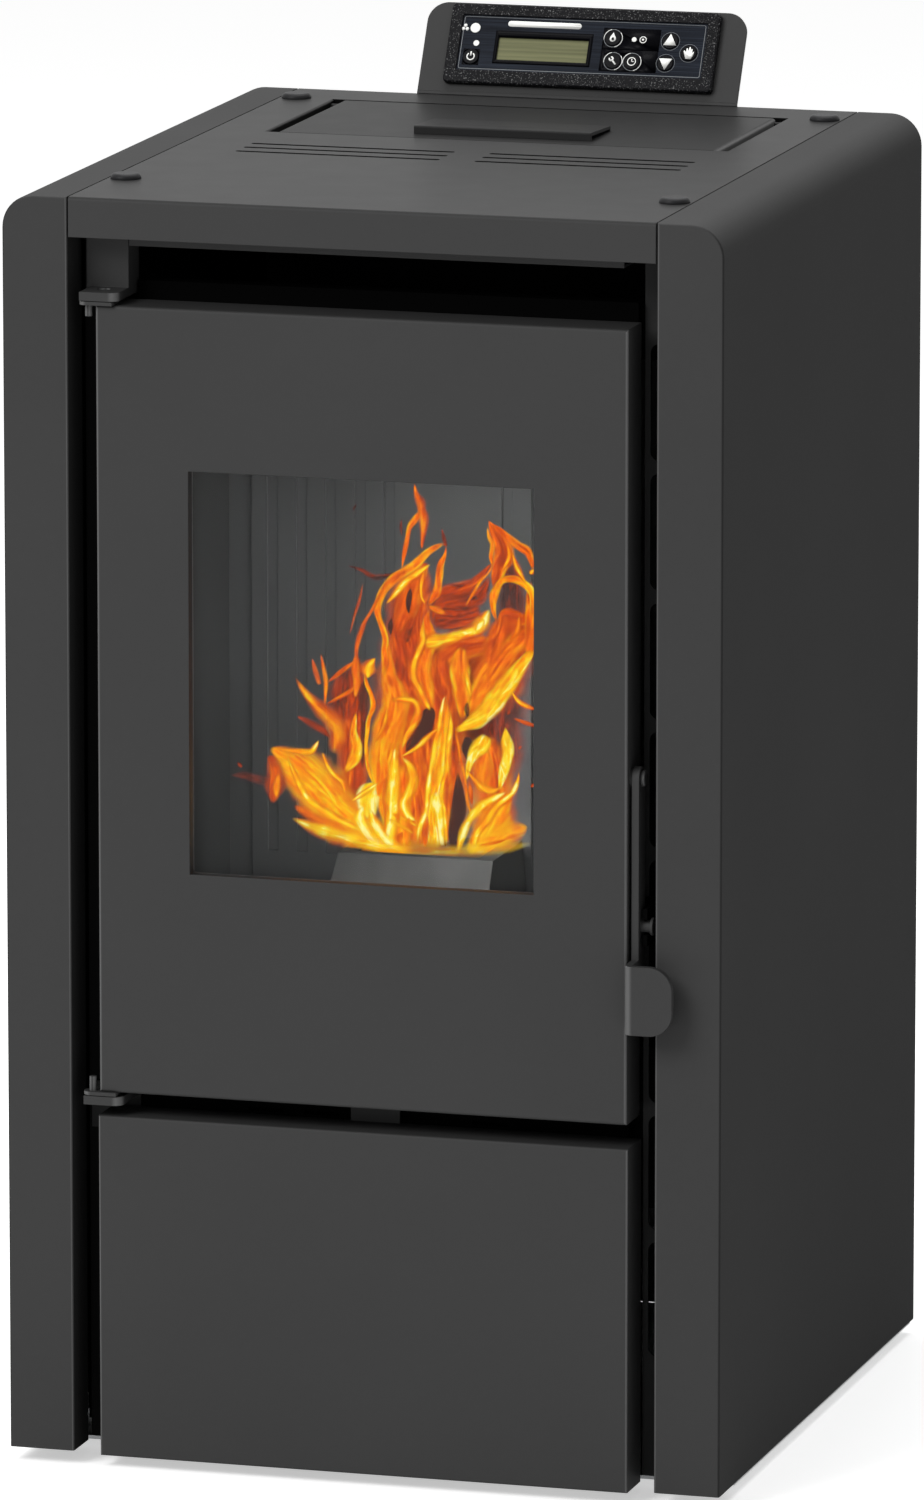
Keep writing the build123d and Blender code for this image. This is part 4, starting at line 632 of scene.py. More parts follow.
@dataclass(frozen=True)
class MouldedPlastic(Finish):
    """Moulded plastic: spark-eroded grain and slightly uneven gloss."""

    colour: Colour
    roughness: float = 0.45
    gloss_spread: float = 0.06
    grain_scale: float = 1300.0
    grain_depth: float = 0.00003
    grain_strength: float = 0.5
    specular: float = 0.5
    tone_scale: float = 30.0
    glint_share: float = 0.0
    glint_finer: float = 1.3
    edge_radius: float = 0.0004

    def shader(self, tree: FinishTree) -> Socket:
        """Grained skin, with pale specks painted as glints where glint_share asks for them.

        Args:
            tree: where its nodes go.

        Returns:
            The shader\'s socket.
        """
        grain = tree.noise(self.grain_scale, 3.0, rough=0.6)
        tone = tree.noise(self.tone_scale, 3.0)
        colour = tree.tones(tone, toned(self.colour, 0.85), toned(self.colour, 1.1))
        # Painted highlight: pale specks stand in for glints on the grained skin.
        if self.glint_share:
            glints = tree.noise(self.grain_scale * self.glint_finer)
            colour = tree.blend(tree.remap(glints, 0.6, 0.7, 0.0, self.glint_share), colour, grey(0.75))
        gloss = tree.around(grain, self.roughness, self.gloss_spread)
        normal = tree.bump(grain, self.grain_depth, self.grain_strength, tree.soft_edges(self.edge_radius))
        return tree.surface(colour, gloss, Normal=normal, Specular_IOR_Level=self.specular)


@dataclass(frozen=True)
class BrushedFilm(Finish):
    """Clear film printed blue-black over brushed foil."""

    dark: Colour = (0.003, 0.004, 0.007)
    light: Colour = (0.02, 0.025, 0.036)
    specular: float = 0.03
    hair_scale: float = 5.0
    hair_stretch: Point = (3.0, 320.0, 320.0)
    hair_depth: float = 0.00001
    hair_weight: float = 0.75
    cloud_scale: float = 16.0

    def shader(self, tree: FinishTree) -> Socket:
        """Brushed hairs under faint clouds.

        Args:
            tree: where its nodes go.

        Returns:
            The shader\'s socket.
        """
        hairs = tree.noise(self.hair_scale, 6.0, tree.stretched(self.hair_stretch), rough=0.65)
        tone = tree.mean(hairs, tree.noise(self.cloud_scale), self.hair_weight)
        colour = tree.tones(tone, self.dark, self.light, (0.38, 0.66))
        return tree.surface(colour, tree.spread(hairs, 0.16, 0.34),
                            Normal=tree.bump(hairs, self.hair_depth, 0.25), Specular_IOR_Level=self.specular)


@dataclass(frozen=True)
class PrintedInk(Finish):
    """Screen-printed ink or pale moulding."""

    colour: Colour
    roughness: float = 0.5
    gloss_spread: float = 0.05
    specular: float = 0.5
    grain_scale: float = 2400.0
    grain_depth: float = 0.00001

    def shader(self, tree: FinishTree) -> Socket:
        """Fine even grain.

        Args:
            tree: where its nodes go.

        Returns:
            The shader\'s socket.
        """
        grain = tree.noise(self.grain_scale, 3.0)
        gloss = tree.around(grain, self.roughness, self.gloss_spread)
        return tree.surface(tree.tones(grain, toned(self.colour, 0.93), self.colour), gloss,
                            Normal=tree.bump(grain, self.grain_depth, 0.3), Specular_IOR_Level=self.specular)


@dataclass(frozen=True)
class DisplayPane(Finish):
    """Reflective liquid-crystal display: olive backing and faint rows of dots."""

    pale: Colour = (0.165, 0.168, 0.085)
    dark: Colour = (0.105, 0.108, 0.055)
    rows_per_m: float = 420.0
    row_strength: float = 0.03
    band_scale: float = 3.0
    band_stretch: Point = (2.0, 90.0, 90.0)

    def shader(self, tree: FinishTree) -> Socket:
        """Soft bands with the rows of dots over them.

        Args:
            tree: where its nodes go.

        Returns:
            The shader\'s socket.
        """
        bands = tree.noise(self.band_scale, 4.0, tree.stretched(self.band_stretch), rough=0.7)
        wave = tree.math("SINE", tree.product(tree.split(tree.place)["Z"], self.rows_per_m * math.tau))
        value = tree.math("ADD", bands, tree.product(wave, self.row_strength))
        colour = tree.tones(value, self.dark, self.pale, (0.36, 0.64))
        return tree.surface(colour, tree.spread(bands, 0.12, 0.22), Specular_IOR_Level=0.05)


@dataclass(frozen=True)
class LacqueredBoard(Finish):
    """Green circuit board with copper tracks under the lacquer."""

    colour: Colour = (0.015, 0.11, 0.05)
    track: Colour = (0.05, 0.22, 0.09)
    track_scale: float = 240.0
    track_stretch: Point = (1.0, 1.0, 0.35)
    track_width: Flat = (0.03, 0.08)
    track_depth: float = 0.00003
    gloss_scale: float = 50.0

    def shader(self, tree: FinishTree) -> Socket:
        """Tracks along the edges of cells.

        Args:
            tree: where its nodes go.

        Returns:
            The shader\'s socket.
        """
        tracks = tree.cells(self.track_scale, tree.stretched(self.track_stretch), "DISTANCE_TO_EDGE")
        share = tree.remap(tracks, *self.track_width, 1.0, 0.0)
        return tree.surface(tree.blend(share, self.colour, self.track),
                            tree.spread(tree.noise(self.gloss_scale), 0.22, 0.35),
                            Normal=tree.bump(share, self.track_depth, 0.5))


@dataclass(frozen=True)
class FlameGlow(Finish):
    """Burning gas: colour from how hot it is, thin where it is veiled, in fine strands.

    A pattern is its stretch across and along a tongue, and how far it is bent.
    """

    strand_heat: float = 0.42
    strand_middle: float = 0.53
    strand_veil: float = 0.25
    thread_heat: float = 0.16
    thread_width: float = 0.16
    strands: Point = (3.2, 0.45, 0.6)
    licks: Point = (1.3, 0.9, 0.8)
    threads: Point = (1.5, 0.3, 1.6)
    colours: Stops = (
        (0.0, (0.05, 0.018, 0.014)), (0.14, (0.2, 0.026, 0.01)), (0.32, (0.55, 0.05, 0.001)),
        (0.5, (0.88, 0.14, 0.0)), (0.68, (0.98, 0.33, 0.0)), (0.84, (1.0, 0.6, 0.004)),
        (0.95, (1.0, 0.77, 0.04)), (1.0, (1.0, 0.9, 0.3)))

    def pattern(self, tree: FinishTree, kind: Point) -> Socket:
        """Noise that runs along the tongues."""
        flow = tree.stretched((*kind[:2], 1.0), tree.coordinates["UV"])
        return tree.noise(1.0, 3.0, flow, kind[2])

    def layer(self, tree: FinishTree, name: str) -> Socket:
        """Values that the flames' vertices carry."""
        return tree.add("ShaderNodeAttribute", attribute_name=name).outputs["Fac"]

    def shader(self, tree: FinishTree) -> Socket:
        """Light where the veil is thick, nothing where it is thin.

        Args:
            tree: where its nodes go.

        Returns:
            The shader\'s socket.
        """
        tree.material.cycles.emission_sampling = "NONE"
        sway = tree.product(tree.math("SUBTRACT", self.pattern(tree, self.strands), self.strand_middle),
                            self.strand_heat * 2)
        centred = tree.math("SUBTRACT", tree.product(self.pattern(tree, self.threads), 2.0), 1.0)
        thread = tree.remap(tree.math("ABSOLUTE", centred), 0.0, self.thread_width, self.thread_heat, 0.0)
        heat = tree.math("ADD", tree.math("ADD", self.layer(tree, "warmth"), sway), thread)
        glow = tree.add("ShaderNodeEmission", {"Color": tree.ramp(heat, self.colours), "Strength": 1.0})
        thin = tree.spread(self.pattern(tree, self.licks), 1.0 - self.strand_veil, 1.0 + self.strand_veil / 2)
        share = tree.add("ShaderNodeClamp", {"Value": tree.product(self.layer(tree, "veil"), thin)})
        clear = tree.add("ShaderNodeBsdfTransparent")
        return tree.mixed(share.outputs["Result"], clear.outputs[0], glow.outputs[0])


@dataclass(frozen=True)
class CharredPellets(Finish):
    """Charred wood that glows in its cracks."""

    patch_scale: float = 60.0
    crack_scale: float = 420.0
    crack_depth: float = 0.0004
    char_dark: Colour = (0.012, 0.01, 0.009)
    char_pale: Colour = (0.06, 0.05, 0.045)
    glow_colours: Stops = (
        (0.0, (0.25, 0.01, 0.0)), (0.6, (1.0, 0.16, 0.01)), (1.0, (1.0, 0.5, 0.08)))

    def shader(self, tree: FinishTree) -> Socket:
        """Char that is lit along its cracks, in patches.

        Args:
            tree: where its nodes go.

        Returns:
            The shader\'s socket.
        """
        tree.material.cycles.emission_sampling = "NONE"
        patch = tree.noise(self.patch_scale, 4.0)
        cracks = tree.cells(self.crack_scale, feature="DISTANCE_TO_EDGE")
        lit = tree.product(tree.remap(cracks, 0.02, 0.25, 1.0, 0.25), tree.remap(patch, 0.4, 0.62))
        return tree.surface(tree.tones(patch, self.char_dark, self.char_pale), tree.spread(patch, 0.75, 0.95),
                            Normal=tree.bump(cracks, self.crack_depth, 0.6),
                            Emission_Color=tree.ramp(lit, self.glow_colours), Emission_Strength=lit)


class Finishes:
    """Every finish of the stove, made once.

    Attributes:
        of: the finished material by name.
    """

    NODES = {
        "cabinet_coat": ("side_panel_left", "side_panel_right"),
        "top_coat": ("top_panel",),
        "lid_coat": ("hopper_lid", "lid_handle"),
        "door_coat": ("door_panel", "door_handle", "lower_panel", "console_bracket", "air_duct_roof",
                      "hinge_brackets"),
        "frame_coat": ("cross_rail", "door_catch", "firebox_flange"),
        "side_frame_coat": ("inner_sides",),
        "galvanised": ("base_plate", "rear_panel", "hopper_grate", "blower_housing"),
        "heat_coat": ("door_liner", "smoke_duct", "flue_pipe", "auger_tube", "hopper"),
        "bare_steel": ("panel_screws", "glass_clamps", "auger_screw", "ash_pan",
                       "air_intake_pipe", "levelling_feet"),
        "cast_iron": ("burn_pot",),
        "fire_wall": ("firebox_shell",),
        "fire_liner": ("fire_back_liner",),
        "vermiculite": ("baffle_plate",),
        "cast_aluminium": ("extractor_housing", "extractor_wheel", "auger_motor", "blower_wheel"),
        "ceramic": ("igniter",),
        "black_plastic": ("top_caps", "power_inlet", "power_rocker", "pressure_switch",
                          "safety_thermostat", "reset_button"),
        "keypad_case": ("keypad_housing",),
        "circuit_board": ("control_board",),
        "display": ("lcd_module",),
        "keypad_film": ("keypad_overlay",),
        "key_cap": ("key_power", "key_flame", "key_wrench", "key_clock", "key_up", "key_down", "key_hand"),
        "lens": ("keypad_lights",),
        "pane": ("door_glass",),
        "seal": ("door_gasket", "window_gasket"),
    }

    def __init__(self) -> None:
        """Makes every material and gives the CAD nodes theirs."""
        made = (
            # One anthracite paint in four copies, cabinet_coat, top_coat, lid_coat and door_coat, toned
            # slightly apart for their gloss and as painted light and shade for how the lamps fall on each
            # part.
            PowderCoat("cabinet_coat", grey(0.0495), specular=0.0, top_light_share=1.35,
                       # Painted light and shade: tops lightened, faces that look towards the middle and
                       # rounded edges darkened, inner folds lightened as a painted highlight.
                       inward_light_share=0.48, edge_light_share=0.6, fold_light_share=4.0),
            # Painted shade: top_coat darkens its upward faces, and the walls of its slots nearly to black.
            PowderCoat("top_coat", grey(0.0465), roughness=0.42, specular=0.045, tone_spread=0.02,
                       top_light_share=0.5, sunk_light_share=0.05),
            # Painted light and shade: lid_coat darkens its upward and sunk faces and lightens the flanges
            # that look outwards.
            PowderCoat("lid_coat", grey(0.04), roughness=0.42, specular=0.03, tone_spread=0.02,
                       top_light_share=0.48, sunk_light_share=0.62, outward_light_share=5.0),
            # Painted light and shade: door_coat darkens upward faces and lightens rounded edges as a painted
            # highlight.
            PowderCoat("door_coat", grey(0.044), specular=0.08, top_light_share=0.65, edge_light_share=2.6),
            PowderCoat("frame_coat", grey(0.003), roughness=0.6, specular=0.0),
            # Painted light: side_frame_coat is the frame's black made paler, and paler still right of the
            # middle, where the strip is lit.
            PowderCoat("side_frame_coat", grey(0.012), roughness=0.6, specular=0.0,
                       right_light_share=3.5),
            SheetMetal("galvanised", (0.52, 0.53, 0.54), spangle=0.14),
            PowderCoat("heat_coat", grey(0.011), roughness=0.75, grain_depth=0.00003,
                       tone_spread=0.1, specular=0.02),
            SheetMetal("bare_steel", (0.46, 0.46, 0.45), streak=(220.0, 8.0, 8.0)),
            CastIron("cast_iron", (0.075, 0.073, 0.07)),
            FireWall("fire_wall"),
            # Painted light: fire_liner's groove flanks are lightened against their shade.
            FireWall("fire_liner", flank_light_share=1.95),
            PressedBoard("vermiculite", (0.5, 0.42, 0.3), (0.05, 0.047, 0.044)),
            SheetMetal("cast_aluminium", (0.5, 0.5, 0.51), roughness=0.5, streak=(40.0, 40.0, 40.0)),
            MouldedPlastic("ceramic", (0.68, 0.64, 0.56), roughness=0.6),
            MouldedPlastic("black_plastic", (0.012, 0.012, 0.013), specular=0.12),
            # Painted highlight: keypad_case's pale specks are painted glints.
            MouldedPlastic("keypad_case", (0.006, 0.006, 0.007), roughness=0.35, grain_scale=1000.0,
                           grain_depth=0.00012, grain_strength=0.8, specular=0.04, glint_share=0.2),
            LacqueredBoard("circuit_board"),
            BrushedFilm("keypad_film"),
            MouldedPlastic("key_cap", (0.003, 0.003, 0.004), roughness=0.3, grain_depth=0.00001,
                           specular=0.05),
            PrintedInk("lens", (0.75, 0.75, 0.72), roughness=0.25),
            PrintedInk("white_ink", (0.9, 0.9, 0.87)),
            PrintedInk("grey_ink", (0.22, 0.23, 0.24), specular=0.1),
            PrintedInk("dark_ink", (0.002, 0.002, 0.003), roughness=0.3, specular=0.03),
            StovePane("pane"),
            WovenSeal("seal", (0.055, 0.054, 0.052)),
            DisplayPane("display"),
            FlameGlow("flame"),
            CharredPellets("embers"),
        )
        self.of = {finish.name: finish.make() for finish in made}
        for finish, nodes in self.NODES.items():
            for node in nodes:
                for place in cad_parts[node].material_slots:
                    place.material = self.of[finish]


# ---------------------------------------------------------------- building pieces
class Piece:
    """One visible piece: a mesh in the shared frame that rides on a body."""

    def __init__(self, name: str, body: str, finishes: list[Material]) -> None:
        """Starts an empty piece.

        Args:
            name: the piece's name.
            body: the body that it moves with.
            finishes: its materials; faces use the one numbered by `finish`.
        """
        self.name = name
        self.body = body
        self.finishes = finishes
        self.finish = 0
        self.shape = bmesh.new()

    def loft(self, rings: list[list[Vector]], closed: bool = False) -> list[bmesh.types.BMVert]:
        """Joins rings of equal length into a skin.

        Args:
            rings: corner points of each ring, in order.
            closed: whether the last ring joins the first; if not, the end rings are filled.

        Returns:
            The new vertices, ring after ring.
        """
        rows = [[self.shape.verts.new(point) for point in ring] for ring in rings]
        count = len(rows[0])
        pairs = list(zip(rows, rows[1:])) + ([(rows[-1], rows[0])] if closed else [])
        faces = [self.shape.faces.new((low[i], low[(i + 1) % count], high[(i + 1) % count], high[i]))
                 for low, high in pairs for i in range(count)]
        if not closed:
            faces += [self.shape.faces.new(rows[0][::-1]), self.shape.faces.new(rows[-1])]
        for face in faces:
            face.material_index = self.finish
            face.smooth = True
        return [vertex for row in rows for vertex in row]

    def prism(self, outline: list[Flat], place: Matrix, low: float, high: float) -> None:
        """Raises a flat outline, in mm and anticlockwise, between two heights over a surface."""
        self.loft([level_ring(outline, place, level) for level in (low, high)])

    def frame(self, outer: list[Flat], inner: list[Flat], place: Matrix, low: float, high: float) -> None:
        """Raises the band between two outlines of equal length."""
        corners = ((outer, low), (outer, high), (inner, high), (inner, low))
        self.loft([level_ring(outline, place, level) for outline, level in corners], closed=True)

    def circle(self, centre: Flat, outer: float, inner: float, place: Matrix, low: float,
               high: float) -> None:
        """Raises a round band."""
        self.frame(arc(outer, centre), arc(inner, centre), place, low, high)

    def turned(self, profile: list[Flat], place: Matrix, sides: int) -> None:
        """Turns a profile of (radius, height) in mm round the frame's Z."""
        self.loft([level_ring(arc(radius, sides=sides), place, height) for radius, height in profile])

    def done(self) -> bpy.types.Object:
        """Makes the object and ties it to its body.

        Returns:
            The new object.
        """
        bmesh.ops.recalc_face_normals(self.shape, faces=self.shape.faces)
        mesh = bpy.data.meshes.new(self.name)
        self.shape.to_mesh(mesh)
        self.shape.free()
        for material in self.finishes:
            mesh.materials.append(material)
        piece = bpy.data.objects.new(self.name, mesh)
        bpy.context.scene.collection.objects.link(piece)
        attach(piece, self.body)
        LOG.info("%s: %d faces on %s", self.name, len(mesh.polygons), self.body)
        return piece


def level_ring(outline: list[Flat], place: Matrix, level: float) -> list[Vector]:
    """Corners of an outline in mm, at a height over a surface."""
    return [place @ (Vector((x, y, level)) * MM) for x, y in outline]


def arc(radius: float, centre: Flat = (0.0, 0.0), start: float = 0.0, end: float = 360.0,
        sides: int = 28) -> list[Flat]:
    """Points on an arc; a full circle doesn't repeat its first point.

    Args:
        radius: its radius.
        centre: its middle.
        start: where it starts, in degrees.
        end: where it ends, in degrees.
        sides: how many points it has.

    Returns:
        The points.
    """
    last = sides if end - start >= 360 else sides - 1
    angles = [math.radians(start + (end - start) * i / last) for i in range(sides)]
    return [(centre[0] + radius * math.cos(a), centre[1] + radius * math.sin(a)) for a in angles]


def block(left: float, right: float, low: float, high: float, round_by: float = 0.0) -> list[Flat]:
    """Rectangle, with its corners rounded if asked.

    Args:
        left: its left edge.
        right: its right edge.
        low: its lower edge.
        high: its upper edge.
        round_by: radius of its corners.

    Returns:
        Its corners, anticlockwise.
    """
    if not round_by:
        return [(left, low), (right, low), (right, high), (left, high)]
    x0, x1, y0, y1 = left + round_by, right - round_by, low + round_by, high - round_by
    corners = (((x1, y0), -90), ((x1, y1), 0), ((x0, y1), 90), ((x0, y0), 180))
    return [point for centre, start in corners
            for point in arc(round_by, centre, start, start + 90, CORNER_POINTS)]


def smooth_line(points: list[Point], steps: int) -> list[Vector]:
    """Curve through points.

    Args:
        points: what it passes through.
        steps: places made between two of them.

    Returns:
        Places along the curve.
    """
    line = [Vector(p) for p in points]
    line = [line[0] * 2 - line[1]] + line + [line[-1] * 2 - line[-2]]
    places = []
    for a, b, c, d in zip(line, line[1:], line[2:], line[3:]):
        for i in range(steps):
            t = i / steps
            places.append(0.5 * (2 * b + (c - a) * t + (2 * a - 5 * b + 4 * c - d) * t * t
                                 + (3 * b - a - 3 * c + d) * t ** 3))
    return places + [line[-2]]


def ease(low: float, high: float, value: float) -> float:
    """Rises smoothly from 0 at low to 1 at high."""
    t = min(1.0, max(0.0, (value - low) / (high - low)))
    return t * t * (3 - 2 * t)


# ---------------------------------------------------------------- fire
class Rim(Enum):
    """Which part of a tongue burns brightest, looking the way it runs."""

    LEFT = "left"
    RIGHT = "right"
    BOTH = "both"
    MIDDLE = "middle"


@dataclass(frozen=True)
class Tongue:
    """One tongue of flame, traced from the photograph's window.

    The window was enlarged four times under a grid. A step of that sheet is a quarter of a pixel of the
    924x1500 photograph, and the sheet starts at its pixel (190, 470).

    Attributes:
        behind: mm behind the start plane.
        heat: heat at its edge.
        bright: heat at its bright part.
        veil: density.
        soft: share of its half width over which it thins out.
        line: places along it as (across, down, half width) in sheet steps.
        rim: where its bright part is.
        widen: how much wider it is made than traced.
    """

    behind: float
    heat: float
    bright: float
    veil: float
    soft: float
    line: tuple[Point, ...]
    rim: Rim = Rim.MIDDLE
    widen: float = 1.0


CORE_SOFT = 0.9
RIDGE_WIDEN, RIDGE_DROP, RIDGE_EDGE_HEAT = 1.65, 0.4, 0.36
VEIN_WIDEN = 1.4
HAZE_WIDEN, HAZE_SOFT = 1.12, 0.75
EDGED_SOFT = 0.5


def ridge(behind: float, bright: float, veil: float, *line: Point) -> Tongue:
    """A bright core with a cooler edge."""
    heat = max(RIDGE_EDGE_HEAT, bright - RIDGE_DROP)
    return Tongue(behind, heat, bright, veil, CORE_SOFT, line, widen=RIDGE_WIDEN)


def vein(behind: float, heat: float, bright: float, veil: float, *line: Point) -> Tongue:
    """A thin, darker core."""
    return Tongue(behind, heat, bright, veil, CORE_SOFT, line, widen=VEIN_WIDEN)


def haze(behind: float, heat: float, bright: float, veil: float, *line: Point,
         soft: float = HAZE_SOFT) -> Tongue:
    """An even glow with soft sides."""
    return Tongue(behind, heat, bright, veil, soft, line, widen=HAZE_WIDEN)


def gap(behind: float, heat: float, soft: float, veil: float, *line: Point) -> Tongue:
    """A dark sheet between tongues that dims the flames behind it."""
    return Tongue(behind, heat, heat, veil, soft, line)


def edged(rim: Rim, behind: float, heat: float, bright: float, veil: float, *line: Point,
          soft: float = EDGED_SOFT) -> Tongue:
    """A tongue that burns brightest at its rim."""
    return Tongue(behind, heat, bright, veil, soft, line, rim)


